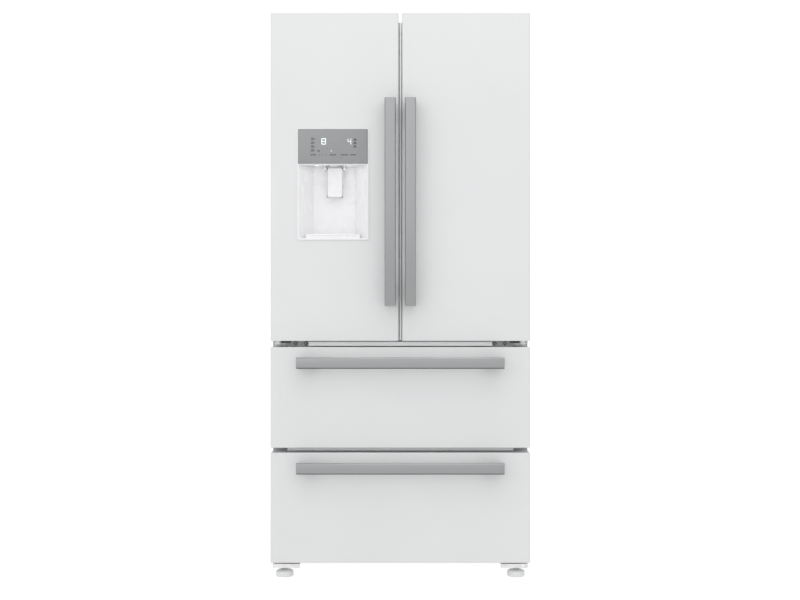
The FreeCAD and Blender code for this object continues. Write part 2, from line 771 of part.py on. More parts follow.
def condenser():
    """Finned coil, and the shroud that leads its air through the fan."""
    y0, y1 = coil_y
    z0 = cabinet_clearance + sheet
    coil = fin_stack(condenser_x[0], condenser_x[1], y0, y1, z0 + 8.0, z0 + 180.0, 20, 6, 3.5)
    feet = [block(x - 6.0, x + 6.0, y0 + 10.0, y1 - 10.0, z0, z0 + 8.0) for x in condenser_x]
    center = V(fan_x - 2.0, fan_y, fan_z)
    shroud = block(fan_x - 2.0, fan_x + 30.0, y0, y1, z0, z0 + 188.0)
    shroud = shroud.cut(block(fan_x + 1.0, fan_x + 30.0, y0 + 3.0, y1 - 3.0, z0 + 3.0, z0 + 185.0))
    shroud = shroud.cut(rod(fan_radius + 3.0, center - V(2, 0, 0), X_AXIS, 8.0))
    arm = block(fan_x + 24.0, fan_x + 30.0, y0 + 1.0, y1 - 1.0, fan_z - 7.0, fan_z + 7.0)
    motor = rod(18.0, V(fan_x + 22.0, fan_y, fan_z), X_AXIS, 30.0)
    axle = rod(fan_axle_radius, V(fan_x, fan_y, fan_z), X_AXIS, 24.0)
    return [fused([coil] + feet), fused([shroud, arm, motor, axle])]


def condenser_fan():
    return [fan(fan_radius, 14.0, 16.0, V(fan_x + 4.0, fan_y, fan_z), X_AXIS)]


def machine_cover():
    """Rear grille of the machine compartment, with the grommet that the mains lead passes through."""
    half = cavity_half + liner
    z0 = cabinet_clearance + sheet
    z1 = machine_top
    cover = block(-half, half, panel_y - 2.0, panel_y, z0, z1)
    cover = rounded(cover, 8.0, Y_AXIS)
    columns = 15
    pitch = (2 * half - 80.0) / columns
    slots = []
    for row in range(6):
        z = z0 + 40.0 + row * (z1 - z0 - 80.0) / 5
        for column in range(columns):
            x = -half + 40.0 + pitch * (column + 0.5)
            reach = pitch * 0.34
            slot = block(x - reach, x + reach, panel_y - 3.0, panel_y + 1.0, z - 4.0, z + 4.0)
            slots.append(rounded(slot, 3.9, Y_AXIS))
    cover = cover.cut(slots)
    grommet_x = half - 22.0
    grommet_z = z0 + 22.0
    hole = rod(9.0, V(grommet_x, panel_y - 3.0, grommet_z), Y_AXIS, 4.0)
    grommet = rod(9.0, V(grommet_x, panel_y - 8.0, grommet_z), Y_AXIS, 8.0)
    grommet = grommet.cut(rod(4.0, V(grommet_x, panel_y - 8.0, grommet_z), Y_AXIS, 8.0))
    return [cover.cut(hole), grommet]


# ---------------------------------------------------------------- upper doors
def door_x(side):
    """A door's two edges. The left door has side -1."""
    return (-half_width, -door_gap / 2) if side < 0 else (door_gap / 2, half_width)


def door_skin():
    """The left door's painted sheet: front, two sides and the raised lip. The right one mirrors it."""
    x0, x1 = door_x(-1)
    outer = block(x0, x1, face_y, back_y, door_z, overall_height)
    outer = rounded(outer, front_edge_radius, Z_AXIS, lambda p: p.y < face_y + 1.0)
    inner = block(x0 + skin, x1 - skin, face_y + skin, back_y, door_z, overall_height)
    inner = rounded(inner, front_edge_radius - skin, Z_AXIS, lambda p: p.y < face_y + skin + 1.0)
    notch = block(x0, x1, face_y + lip_depth, back_y, door_body_top, overall_height)
    return outer.cut(inner).cut(notch)


def door_caps():
    """Plastic ends of the left door, bored for the hinge pins. The upper one fills the lip."""
    x0, x1 = door_x(-1)
    x0 += skin
    x1 -= skin
    y0 = face_y + skin
    corner = front_edge_radius - skin

    def slab(z0, z1, y1):
        shape = block(x0, x1, y0, y1, z0, z1)
        return rounded(shape, corner, Z_AXIS, lambda p: p.y < y0 + 1.0)

    top = slab(door_body_top - cap_height, door_body_top, back_y)
    lip = slab(door_body_top, overall_height, face_y + lip_depth)
    top = fused([top, lip])
    bottom = slab(door_z, door_z + cap_height, back_y)
    cam = block(-pin_x - 18.0, -pin_x - 10.0, pin_y - 9.0, pin_y + 9.0, door_z - 5.0, door_z)
    bottom = fused([bottom, rounded(cam, 3.5, Z_AXIS)])
    for_pin = pin_radius + running_clearance
    top = top.cut(rod(for_pin, V(-pin_x, pin_y, door_body_top - cap_height), Z_AXIS, cap_height))
    bottom = bottom.cut(rod(for_pin, V(-pin_x, pin_y, door_z), Z_AXIS, cap_height))
    return [top, bottom]


def ridge_frame(grow, y1):
    """The raised frame on the left door's liner; grow is how far its walls are moved outwards."""
    x0 = -ridge_outer_x - grow
    x1 = -ridge_inner_x + grow
    z0 = ridge_z[0] - grow
    z1 = ridge_z[1] + grow
    width = ridge_width + 2 * grow
    return frame_ring(x0, x1, z0, z1, width, back_y - inner_skin, y1)


def bin_lugs(heights):
    """Low lugs on the raised frame's inner sides that a bin's ends hook over."""
    lugs = []
    x0 = -ridge_outer_x + ridge_width
    x1 = -ridge_inner_x - ridge_width
    for z in heights:
        for x in (x0, x1 - 1.0):
            lugs.append(block(x, x + 1.0, back_y + 18.0, back_y + 40.0, z + 26.0, z + 44.0))
    return lugs


def door_liner(dispenser):
    """Moulded inner face of the left door, with its raised frame and, over the dispenser, a bulge."""
    x0, x1 = door_x(-1)
    z0 = door_z + cap_height
    z1 = door_body_top - cap_height
    plate = block(x0 + skin, x1 - skin, back_y - inner_skin, back_y, z0, z1)
    shape = fused([plate, ridge_frame(0, back_y + ridge_depth)])
    if dispenser:
        shape = fused([shape, bulge_block(0)])
    shape = shape.cut(ridge_frame(-inner_skin, back_y + ridge_depth - inner_skin))
    if dispenser:
        shape = shape.cut(bulge_block(-inner_skin))
        tap_hole = rod(tap_radius + 1.5, V(dispenser_center_x, back_y - 10.0, tap_z), Y_AXIS, 20.0)
        shape = shape.cut(tap_hole)
        ears = [mullion_ear(z) for z in mullion_ear_heights()]
        shape = fused([shape] + ears)
    heights = left_bin_heights if dispenser else right_bin_heights + (dairy_z,)
    return fused([shape] + bin_lugs(heights))


def bulge_block(grow):
    """The box behind the dispenser's recess; grow moves its walls outwards."""
    half = bulge_half + grow
    return block(
        max(dispenser_center_x - half, -ridge_outer_x - grow),
        min(dispenser_center_x + half, -ridge_inner_x + grow),
        back_y - inner_skin,
        bulge_y + grow,
        bulge_z[0] - grow,
        bulge_z[1] + grow,
    )


def mullion_ear_heights():
    """Where the three mullion hinges stand: one ear with the pin, between two knuckles of the beam."""
    z0, z1 = mullion_z
    inset = 90.0
    return [z0 + inset, (z0 + z1) / 2, z1 - inset]


def mullion_ear(z):
    length = mullion_knuckle_length
    axis = V(mullion_axis_x, mullion_axis_y, z - length / 2)
    barrel = rod(mullion_knuckle_radius, axis, Z_AXIS, length)
    web = block(
        -ridge_inner_x, mullion_axis_x, mullion_axis_y - 4.0, mullion_axis_y + 4.0,
        z - length / 2, z + length / 2,
    )
    pin = rod(mullion_pin_radius, axis - V(0, 0, length * 0.6), Z_AXIS, length * 2.2)
    return fused([barrel, web, pin])


def mullion_beam():
    """Insulated bar that folds against the left door, with guide pins at its ends."""
    z0, z1 = mullion_z
    beam = block(-mullion_half, mullion_half, mullion_y, mullion_y + mullion_thickness, z0, z1)
    beam = rounded(beam, 4.0, Z_AXIS, lambda p: p.y > mullion_axis_y)
    length = mullion_knuckle_length * 0.7
    pieces = [beam]
    for z in mullion_ear_heights():
        for offset in (mullion_knuckle_length / 2 + 1.0, -mullion_knuckle_length / 2 - 1.0 - length):
            axis = V(mullion_axis_x, mullion_axis_y, z + offset)
            barrel = rod(mullion_knuckle_radius, axis, Z_AXIS, length)
            web = block(
                mullion_axis_x, -mullion_half, mullion_axis_y - 4.0, mullion_axis_y + 4.0,
                z + offset, z + offset + length,
            )
            pieces += [barrel, web]
    pin_reach = mullion_end_gap - 4.0
    pieces.append(rod(guide_pin_radius, V(0, mullion_axis_y, z0 - pin_reach), Z_AXIS, pin_reach))
    pieces.append(rod(guide_pin_radius, V(0, mullion_axis_y, z1), Z_AXIS, pin_reach))
    shape = fused(pieces)
    for z in mullion_ear_heights():
        bore = rod(
            mullion_pin_radius + running_clearance,
            V(mullion_axis_x, mullion_axis_y, z - mullion_knuckle_length * 1.5),
            Z_AXIS,
            mullion_knuckle_length * 3,
        )
        shape = shape.cut(bore)
    return [shape]


def door_insulation(dispenser):
    """Foam of the left door in slabs that meet face to face."""
    x0, x1 = door_x(-1)
    x0 += skin
    x1 -= skin
    y0 = face_y + skin
    y1 = back_y - inner_skin
    corner = front_edge_radius - skin

    z0 = door_z + cap_height
    z1 = door_body_top - cap_height

    def at_front_corner(p):
        return p.y < y0 + 1.0 and (p.x < x0 + 1.0 or p.x > x1 - 1.0)

    def edge_slab(xa, xb):
        return rounded(block(xa, xb, y0, y1, z0, z1), corner, Z_AXIS, at_front_corner)

    if dispenser:
        hole = (dispenser_x[0] + 1.0, dispenser_x[1] - 1.0, dispenser_z + 1.0, panel_top - 1.0)
        slabs = [
            edge_slab(x0, hole[0]),
            edge_slab(hole[1], x1),
            block(hole[0], hole[1], y0, y1, z0, hole[2]),
            block(hole[0], hole[1], y0, y1, hole[3], z1),
            block(hole[0], hole[1], face_y + panel_depth + 4.0, y1, tap_z + 20.0, hole[3]),
        ]
        half = bulge_half - inner_skin
        slabs.append(
            block(
                max(dispenser_center_x - half, -ridge_outer_x + ridge_width - inner_skin),
                min(dispenser_center_x + half, -ridge_inner_x - ridge_width + inner_skin),
                recess_back_y + recess_wall,
                bulge_y - inner_skin,
                bulge_z[0] + inner_skin,
                bulge_z[1] - inner_skin,
            )
        )
    else:
        slabs = [edge_slab(x0, x1)]
    rx0 = -ridge_outer_x + inner_skin
    rx1 = -ridge_inner_x - inner_skin
    width = ridge_width - 2 * inner_skin
    rz0 = ridge_z[0] + inner_skin
    rz1 = ridge_z[1] - inner_skin
    ry1 = back_y + ridge_depth - inner_skin
    slabs += [
        block(rx0, rx0 + width, y1, ry1, rz0, rz1),
        block(rx1 - width, rx1, y1, ry1, rz0, rz1),
        block(rx0 + width, rx1 - width, y1, ry1, rz0, rz0 + width),
        block(rx0 + width, rx1 - width, y1, ry1, rz1 - width, rz1),
    ]
    return slabs


def door_gasket():
    """The left door's magnetic seal. Its hinge side stays inside the pin so that it never drags."""
    x0 = -pin_x + 1.0
    x1 = -door_gap / 2 - gasket_inset
    z0 = door_z + gasket_inset
    z1 = door_body_top - gasket_inset
    return frame_ring(x0, x1, z0, z1, gasket_width, back_y, front_y - gasket_compression)


def handle(length, width, post_width, post_shift):
    """A flat bar on two posts, standing along Z with its feet on y = 0 and its middle at the origin."""
    bar = block(-width / 2, width / 2, -handle_reach, -post_depth, -length / 2, length / 2)
    bar = bar.makeChamfer(handle_chamfer, straight_edges(bar, Z_AXIS, lambda p: p.y < -post_depth - 1.0))
    posts = []
    for sign in (-1, 1):
        z0 = sign * (length / 2 - 2.0)
        z1 = sign * (length / 2 - 2.0 - handle_post_length)
        x0 = post_shift - post_width / 2
        post = block(x0, x0 + post_width, -post_depth, 0, min(z0, z1), max(z0, z1))
        posts.append(rounded(post, 3.0, Y_AXIS))
    return [bar] + posts


def door_handle(side):
    x = side * (handle_edge_distance + handle_width / 2)
    z = door_z + door_handle_bottom + handle_length / 2
    shapes = handle(handle_length, handle_width, door_post_width, side * door_post_shift)
    return placed(shapes, V(x, face_y, z))


def drawer_handle(front_z, drop):
    z = front_z[1] - drop - handle_width / 2
    shapes = handle(handle_length, handle_width, handle_post_width, 0)
    return placed(shapes, V(0, face_y, z), (Y_AXIS, 90.0))


def door_bin(z, height):
    """An open bin on the left door between the raised frame's uprights, in front view left to right."""
    x0 = -ridge_outer_x + ridge_width + 1.0
    x1 = -ridge_inner_x - ridge_width - 1.0
    y0 = back_y
    y1 = back_y + bin_depth
    body = rounded(block(x0, x1, y0, y1, z, z + height), 12.0, Z_AXIS, lambda p: p.y > back_y + 20.0)
    hollow = rounded(
        block(x0 + bin_wall, x1 - bin_wall, y0 + bin_wall, y1 - bin_wall, z + bin_wall, z + height),
        9.5,
        Z_AXIS,
        lambda p: p.y > back_y + 20.0,
    )
    back_drop = block(x0 + bin_wall, x1 - bin_wall, y0, y0 + bin_wall, z + height * 0.55, z + height)
    return body.cut(hollow).cut(back_drop)


def left_door_bins():
    heights = left_bin_heights
    low_room = bulge_z[0] - heights[1]
    return [
        door_bin(heights[0], bin_height),
        door_bin(heights[1], min(bin_height, low_room - 20.0)),
        door_bin(heights[2], bin_height),
    ]


def right_door_bins():
    """Three open bins and the dairy box under its cover."""
    bins = [mirrored(door_bin(z, bin_height)) for z in right_bin_heights]
    box = mirrored(door_bin(dairy_z, 60.0))
    x0 = ridge_inner_x + ridge_width + 1.0
    x1 = ridge_outer_x - ridge_width - 1.0
    ends = []
    for x in (x0, x1 - 3.0):
        cheek = side_prism(
            [
                (back_y, dairy_z + 60.0),
                (back_y + bin_depth - 34.0, dairy_z + 60.0),
                (back_y + 30.0, dairy_z + dairy_height),
                (back_y, dairy_z + dairy_height),
            ],
            x,
            x + 3.0,
        )
        ends.append(cheek)
    hinge_rod = rod(dairy_rod_radius, V(x0, dairy_axis_y, dairy_axis_z), X_AXIS, x1 - x0)
    return bins + [fused([box] + ends + [hinge_rod])]


def dairy_cover():
    """Curved flap over the dairy box. It hangs on a rod at its upper edge and lifts into the fridge."""
    x0 = ridge_inner_x + ridge_width + 5.0
    x1 = ridge_outer_x - ridge_width - 5.0
    reach = math.hypot(bin_depth - 14.0 - 26.0, dairy_height - 10.0 - 62.0)
    radius = 7.0
    knuckle = rod(radius, V(x0, dairy_axis_y, dairy_axis_z), X_AXIS, x1 - x0)
    top = V(x0, dairy_axis_y + 1.0, dairy_axis_z + radius - 0.2)
    middle = V(x0, dairy_axis_y + reach * 0.72, dairy_axis_z - reach * 0.12)
    end = V(x0, dairy_axis_y + reach, dairy_axis_z - reach * 0.62)
    outer = Part.Arc(top, middle, end).toShape()
    inward = V(0, -dairy_cover_thickness * 0.7, -dairy_cover_thickness * 0.7)
    inner = Part.Arc(end + inward, middle + inward, top + inward).toShape()
    wire = Part.Wire(
        [
            outer,
            Part.makeLine(end, end + inward),
            inner,
            Part.makeLine(top + inward, top),
        ]
    )
    sheet_shape = Part.Face(wire).extrude(V(x1 - x0, 0, 0))
    shape = fused([knuckle, sheet_shape])
    bore_radius = dairy_rod_radius + running_clearance
    bore = rod(bore_radius, V(x0 - 1.0, dairy_axis_y, dairy_axis_z), X_AXIS, x1 - x0 + 2.0)
    return [shape.cut(bore)]


# ---------------------------------------------------------------- dispenser
def recess_half(depth, wall=0.0):
    """Half the recess's width at a depth behind the door's face, on the inside of its slanted walls."""
    front_half = dispenser_width / 2 - recess_rim
    back_half = recess_back_width / 2
    return front_half + (back_half - front_half) * depth / recess_depth + wall


def housing_half():
    """Half the width of the housing's shell where it passes through the door's sheet."""
    slant = math.atan2(recess_half(0) - recess_half(recess_depth), recess_depth)
    return recess_half(0) + recess_wall / math.cos(slant)


def recess_outline(wall):
    slant = math.atan2(recess_half(0) - recess_half(recess_depth), recess_depth)
    side = wall / math.cos(slant)
    front = recess_half(0) + side
    rear = recess_half(recess_depth) + wall * (1 / math.cos(slant) - math.tan(slant))
    c = dispenser_center_x
    return [
        (c - front, face_y),
        (c - rear, recess_back_y + wall),
        (c + rear, recess_back_y + wall),
        (c + front, face_y),
    ]


def dispenser_housing():
    """White moulding: a rim on the door's face and a recess with slanted sides."""
    z0 = dispenser_z + recess_rim
    z1 = recess_top - recess_wall
    shell = prism(recess_outline(recess_wall), z0 - recess_wall, z1 + recess_wall)
    rim = block(dispenser_x[0], dispenser_x[1], face_y - panel_proud, face_y, dispenser_z, recess_top)
    rim = rounded(rim, 4.0, Y_AXIS, lambda p: p.z < dispenser_z + 1.0)
    shape = fused([shell, rim])
    inside = prism(recess_outline(0), z0, z1)
    mouth = block(
        dispenser_center_x - recess_half(0), dispenser_center_x + recess_half(0), face_y - 5.0, face_y, z0, z1
    )
    shape = shape.cut(inside.fuse(mouth))
    nozzle_hole = rod(tap_radius + 1.5, V(dispenser_center_x, tap_y, z1 - 1.0), Z_AXIS, 10.0)
    shape = shape.cut(nozzle_hole)
    ears = []
    for sign in (-1, 1):
        inner = paddle_x + sign * (paddle_width / 2 + 2.0)
        outer = inner + sign * 5.0
        ear = block(
            min(inner, outer), max(inner, outer), paddle_axis_y - 6.0, recess_back_y + 1.0,
            paddle_axis_z - 6.0, z1 + 1.0,
        )
        ears.append(ear)
    shape = fused([shape] + ears)
    bore = rod(
        paddle_pin_radius + running_clearance,
        V(paddle_x - paddle_width / 2 - 10.0, paddle_axis_y, paddle_axis_z),
        X_AXIS,
        paddle_width + 20.0,
    )
    return [shape.cut(bore)]


def dispenser_paddle():
    """Push plate that a glass presses, hung on pins at its top."""
    c = paddle_x
    half = paddle_width / 2
    top = paddle_axis_z + 3.0
    plate = block(
        c - half, c + half,
        paddle_axis_y - paddle_thickness / 2, paddle_axis_y + paddle_thickness / 2,
        top - paddle_height, top,
    )
    plate = rounded(plate, 7.0, Y_AXIS, lambda p: p.z < top - paddle_height + 1.0)
    plate = rounded(plate, 2.5, Y_AXIS, lambda p: p.z > top - 1.0)
    dish = block(
        c - half + 7.0, c + half - 7.0,
        paddle_axis_y - paddle_thickness / 2 - 1.0, paddle_axis_y - paddle_thickness / 2 + 1.5,
        top - paddle_height + 8.0, top - 14.0,
    )
    dish = rounded(dish, 4.0, Y_AXIS)
    pins = rod(paddle_pin_radius, V(c - half - 6.0, paddle_axis_y, paddle_axis_z), X_AXIS, 2 * half + 12.0)
    return [fused([plate.cut(dish), pins])]


def drip_tray():
    """Removable tray on the recess floor and the slotted grid that covers it."""
    c = dispenser_center_x
    near = 8.0
    far = recess_depth - 10.0
    z0 = dispenser_z + recess_rim
    z1 = z0 + tray_height - recess_rim

    def outline(inset):
        front = recess_half(near) - 18.0 - inset
        rear = recess_half(far) - tray_clearance - inset
        return [
            (c - front, face_y + near + inset),
            (c - rear, face_y + far - inset),
            (c + rear, face_y + far - inset),
            (c + front, face_y + near + inset),
        ]

    body = prism(outline(0), z0, z1)
    body = body.cut(prism(outline(2.0), z0 + 2.0, z1))
    grid = prism(outline(2.3), z1 - 3.0, z1 - 1.0)
    pitch = 12.0
    bars = int(2 * (recess_half(far) - 14.0) / pitch)
    slots = []
    for i in range(bars):
        x = c + (i - (bars - 1) / 2) * pitch
        slots.append(block(x - 3.5, x + 3.5, face_y + near + 9.0, face_y + far - 8.0, z1 - 4.0, z1))
    ledge = prism(outline(1.9), z1 - 5.0, z1 - 3.0).cut(prism(outline(4.0), z1 - 5.0, z1 - 3.0))
    return [fused([body, ledge]), grid.cut(slots)]


def control_panel():
    """Grey fascia above the recess with the box of its electronics behind it."""
    front = block(
        dispenser_x[0], dispenser_x[1], face_y - panel_proud, face_y, recess_top, panel_top
    )
    front = rounded(front, 4.0, Y_AXIS, lambda p: p.z > panel_top - 1.0)
    front = front.makeChamfer(
        1.0, [e for e in front.Edges if abs(e.CenterOfMass.y - (face_y - panel_proud)) < 1e-6]
    )
    box = block(
        dispenser_x[0] + 3.0, dispenser_x[1] - 3.0, face_y, face_y + panel_depth,
        recess_top + recess_wall + 1.0, panel_top - 3.0,
    )
    return [fused([front, box])]


def water_tap():
    """Valve pipe from the tank's foot through the door to the nozzle over the recess."""
    c = dispenser_center_x
    bottom = recess_top - recess_wall - 3.0
    drop = rod(tap_radius, V(c, tap_y, bottom), Z_AXIS, tap_z + tap_radius + 2.0 - bottom)
    level = rod(tap_radius, V(c, tap_y, tap_z), Y_AXIS, back_y - tap_y)
    body = fused([drop, level])
    return [body.cut(rod(tap_radius - 2.0, V(c, tap_y, bottom), Z_AXIS, tap_z - bottom))]


def water_tank():
    """Tank that stands on the bulge behind the dispenser, with its lid and the filler plug on it."""
    half = dispenser_width / 2 + 4.0
    x0 = dispenser_center_x - half
    x1 = min(dispenser_center_x + half, -ridge_inner_x - ridge_width - 1.0)
    x0 = max(x0, -ridge_outer_x + ridge_width + 1.0)
    z0 = bulge_z[1]
    z1 = z0 + tank_height - 14.0
    y1 = back_y + tank_depth
    body = rounded_block(x0, x1, back_y, y1, z0, z1, 10.0, Z_AXIS)
    hollow = rounded_block(
        x0 + tank_wall, x1 - tank_wall, back_y + tank_wall, y1 - tank_wall, z0 + tank_wall, z1, 8.0, Z_AXIS
    )
    lid = rounded_block(x0, x1, back_y, y1, z1, z1 + 6.0, 10.0, Z_AXIS)
    plug_x = (x0 + x1) / 2 + 60.0
    plug_y = (back_y + y1) / 2
    plug = rod(20.0, V(plug_x, plug_y, z1 + 6.0), Z_AXIS, 8.0)
    plug = plug.fuse(block(plug_x - 17.0, plug_x + 17.0, plug_y - 3.0, plug_y + 3.0, z1 + 6.0, z1 + 14.0))
    return [body.cut(hollow), lid, plug.removeSplitter()]


# ---------------------------------------------------------------- freezer drawers
def drawer_block(front_z, inset, edge_radius):
    """A drawer front with its front edges rounded; inset moves every side in."""
    z0, z1 = front_z
    half = half_width - inset
    shape = block(-half, half, face_y + inset, back_y, z0 + inset, z1 - inset)
    shape = rounded(shape, front_edge_radius - inset, Z_AXIS, lambda p: p.y < face_y + inset + 1.0)
    return rounded(shape, edge_radius, X_AXIS, lambda p: p.y < face_y + inset + 1.0)


def drawer_skin(front_z):
    """Painted sheet tray that forms a drawer's front."""
    return [drawer_block(front_z, 0, 2.5).cut(drawer_block(front_z, skin, 1.5))]


def drawer_core(front_z):
    """Insulated core of a drawer front, faced with white plastic towards the freezer."""
    return [drawer_block(front_z, skin, 1.5)]


def drawer_gasket(front_z):
    half = pin_x - 1.0
    return [
        frame_ring(
            -half, half, front_z[0] + gasket_inset, front_z[1] - gasket_inset, gasket_width, back_y,
            front_y - gasket_compression,
        )
    ]


def channel(x_web, x_open, web_sheet, z, half_height, y0, y1):
    """A C section that opens towards the middle of the appliance; x_web is its outer side."""
    outer = block(x_open, x_web, y0, y1, z - half_height, z + half_height)
    hollow = block(
        x_open, x_web - web_sheet, y0, y1, z - half_height + rail_sheet, z + half_height - rail_sheet
    )
    return outer.cut(hollow)


def fixed_rail(z, length):
    open_x = cavity_half - rail_depth
    return channel(cavity_half, open_x, rail_sheet, z, rail_height / 2, rail_front, rail_front + length)


def middle_rail(z, length):
    outer_x = cavity_half - rail_sheet - rail_play
    half_height = rail_height / 2 - rail_sheet - rail_play
    return channel(
        outer_x, cavity_half - rail_depth + rail_play, rail_sheet, z, half_height, rail_front + 2.0,
        rail_front + length - 2.0,
    )


def drawer_rail(z, length):
    """Inner member of a telescopic rail with the upright that the basket's rim sits on."""
    outer_x = cavity_half - 2 * rail_sheet - 2 * rail_play
    half_height = rail_height / 2 - 2 * rail_sheet - 2 * rail_play
    inner_x = cavity_half - rail_depth - rail_play
    y1 = rail_front + length - 4.0
    bar = block(inner_x, outer_x, rail_front + 4.0, y1, z - half_height, z + half_height)
    upright = block(
        inner_x - 4.0, inner_x, back_y, y1, z - half_height, z + rail_height / 2 + 8.0
    )
    return fused([bar, upright])


def basket(z_rail, length, z0):
    """Moulded freezer basket whose rim hangs on the two rail uprights."""
    inner_x = cavity_half - rail_depth - rail_play
    rim_z = z_rail + rail_height / 2 + 8.0
    wall_x = inner_x - 4.0 - 2.0
    y0 = back_y + 1.0
    y1 = rail_front + length - 6.0
    body = rounded_block(-wall_x, wall_x, y0, y1, z0, rim_z, 14.0, Z_AXIS)
    hollow = rounded_block(
        -wall_x + basket_wall, wall_x - basket_wall, y0 + basket_wall, y1 - basket_wall, z0 + basket_wall,
        rim_z, 11.5, Z_AXIS,
    )
    rim = rounded_block(-inner_x + 0.5, inner_x - 0.5, y0, y1, rim_z, rim_z + 4.0, 14.0, Z_AXIS)
    rim = rim.cut(
        rounded_block(
            -wall_x + basket_wall, wall_x - basket_wall, y0 + basket_wall, y1 - basket_wall, rim_z,
            rim_z + 4.0, 11.5, Z_AXIS,
        )
    )
    return [fused([body.cut(hollow), rim])]


# ---------------------------------------------------------------- feet and rollers
def foot(side):
    """Levelling foot: a turned sole with a neck and its screw."""
    x = side * foot_x
    sole = rod(foot_radius, V(x, foot_y, 0), Z_AXIS, foot_height)
    rims = [e for e in sole.Edges if e.Curve.TypeId == "Part::GeomCircle"]
    sole = sole.makeFillet(3.0, rims)
    grip = foot_radius * 0.1
    for i in range(12):
        angle = math.radians(30.0 * i)
        at = V(x + math.cos(angle) * foot_radius, foot_y + math.sin(angle) * foot_radius, 4.0)
        sole = sole.cut(rod(grip, at, Z_AXIS, foot_height))
    neck = rod(foot_radius * 0.42, V(x, foot_y, foot_height), Z_AXIS, 7.0)
    stem = rod(foot_stem_radius, V(x, foot_y, foot_height), Z_AXIS, front_clearance - 3.0 - foot_height)
    return [fused([sole, neck, stem])]


def roller(side):
    """Rear transport roller on the axle of its fork."""
    x0 = side * roller_x - roller_width / 2
    shape = rod(roller_radius, V(x0, roller_y, roller_radius), X_AXIS, roller_width)
    rims = [e for e in shape.Edges if e.Curve.TypeId == "Part::GeomCircle"]
    shape = shape.makeFillet(2.0, rims)
    bore_radius = roller_axle_radius + running_clearance
    bore = rod(bore_radius, V(x0 - 1.0, roller_y, roller_radius), X_AXIS, roller_width + 2.0)
    return [shape.cut(bore)]


# ---------------------------------------------------------------- assembly
def build():
    parts["cabinet_wrapper"] = cabinet_wrapper()
    parts["cabinet_insulation"] = cabinet_insulation()
    parts["fridge_liner"] = fridge_liner()
    parts["freezer_liner"] = freezer_liner()
    parts["crossbeams"] = crossbeams()
    parts["base_frame"] = base_frame()
    parts["door_hinges"] = door_hinges()
    parts["hinge_covers"] = hinge_covers()
    parts["mullion_guides"] = mullion_guides()
    parts["glass_shelves"] = glass_shelves()
    parts["shelf_trims"] = shelf_trims()
    parts["crispers"] = crispers()
    parts["air_ducts"] = air_ducts()
    parts["evaporator"] = evaporator()
    parts["evaporator_fan"] = evaporator_fan()
    parts["compressor"] = compressor()
    parts["condenser"] = condenser()
    parts["condenser_fan"] = condenser_fan()
    parts["machine_cover"] = machine_cover()

    opening_half = housing_half() + skin_opening_clearance
    opening = block(
        dispenser_center_x - opening_half, dispenser_center_x + opening_half, face_y - 1.0,
        face_y + skin + 1.0, dispenser_z + 1.0, panel_top - 2.0,
    )
    left_skin = door_skin()
    parts["left_door_skin"] = [left_skin.cut(opening)]
    parts["right_door_skin"] = [mirrored(left_skin)]
    parts["left_door_caps"] = door_caps()
    parts["right_door_caps"] = [mirrored(s) for s in door_caps()]
    parts["left_door_liner"] = [door_liner(True)]
    parts["right_door_liner"] = [mirrored(door_liner(False))]
    parts["left_door_insulation"] = door_insulation(True)
    parts["right_door_insulation"] = [mirrored(s) for s in door_insulation(False)]
    parts["left_door_gasket"] = [door_gasket()]
    parts["right_door_gasket"] = [mirrored(door_gasket())]
    parts["left_door_handle"] = door_handle(-1)
    parts["right_door_handle"] = door_handle(1)
    parts["left_door_bins"] = left_door_bins()
    parts["right_door_bins"] = right_door_bins()
    parts["dairy_cover"] = dairy_cover()
    parts["mullion_beam"] = mullion_beam()
    parts["control_panel"] = control_panel()
    parts["dispenser_housing"] = dispenser_housing()
    parts["dispenser_paddle"] = dispenser_paddle()
    parts["drip_tray"] = drip_tray()
    parts["water_tap"] = water_tap()
    parts["water_tank"] = water_tank()

    drawers = (
        ("upper", upper_front_z, upper_handle_drop, upper_rail_z, upper_rail_length, upper_basket_z),
        ("lower", lower_front_z, lower_handle_drop, lower_rail_z, lower_rail_length, lower_basket_z),
    )
    fixed = []
    for name, front_z, drop, rail_z, rail_length, basket_z in drawers:
        parts[name + "_drawer_skin"] = drawer_skin(front_z)
        parts[name + "_drawer_core"] = drawer_core(front_z)
        parts[name + "_drawer_gasket"] = drawer_gasket(front_z)
        parts[name + "_drawer_handle"] = drawer_handle(front_z, drop)
        parts[name + "_basket"] = basket(rail_z, rail_length, basket_z)
        parts[name + "_drawer_rails"] = both_sides([drawer_rail(rail_z, rail_length)])
        parts[name + "_middle_rails"] = both_sides([middle_rail(rail_z, rail_length)])
        fixed += both_sides([fixed_rail(rail_z, rail_length)])
    parts["fixed_rails"] = fixed

    parts["left_foot"] = foot(-1)
    parts["right_foot"] = foot(1)
    parts["left_roller"] = roller(-1)
    parts["right_roller"] = roller(1)


def export():
    os.makedirs("parts", exist_ok=True)
    for name, solids in parts.items():
        shape = Part.makeCompound(solids)
        if not shape.isValid():
            print("not valid:", name)
        shape.exportStep("parts/" + name + ".step")


build()
export()
print(len(parts), "nodes written")
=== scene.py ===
"""Finishes and fine pieces of the french door refrigerator, on the frame that the CAD model gives."""

import math

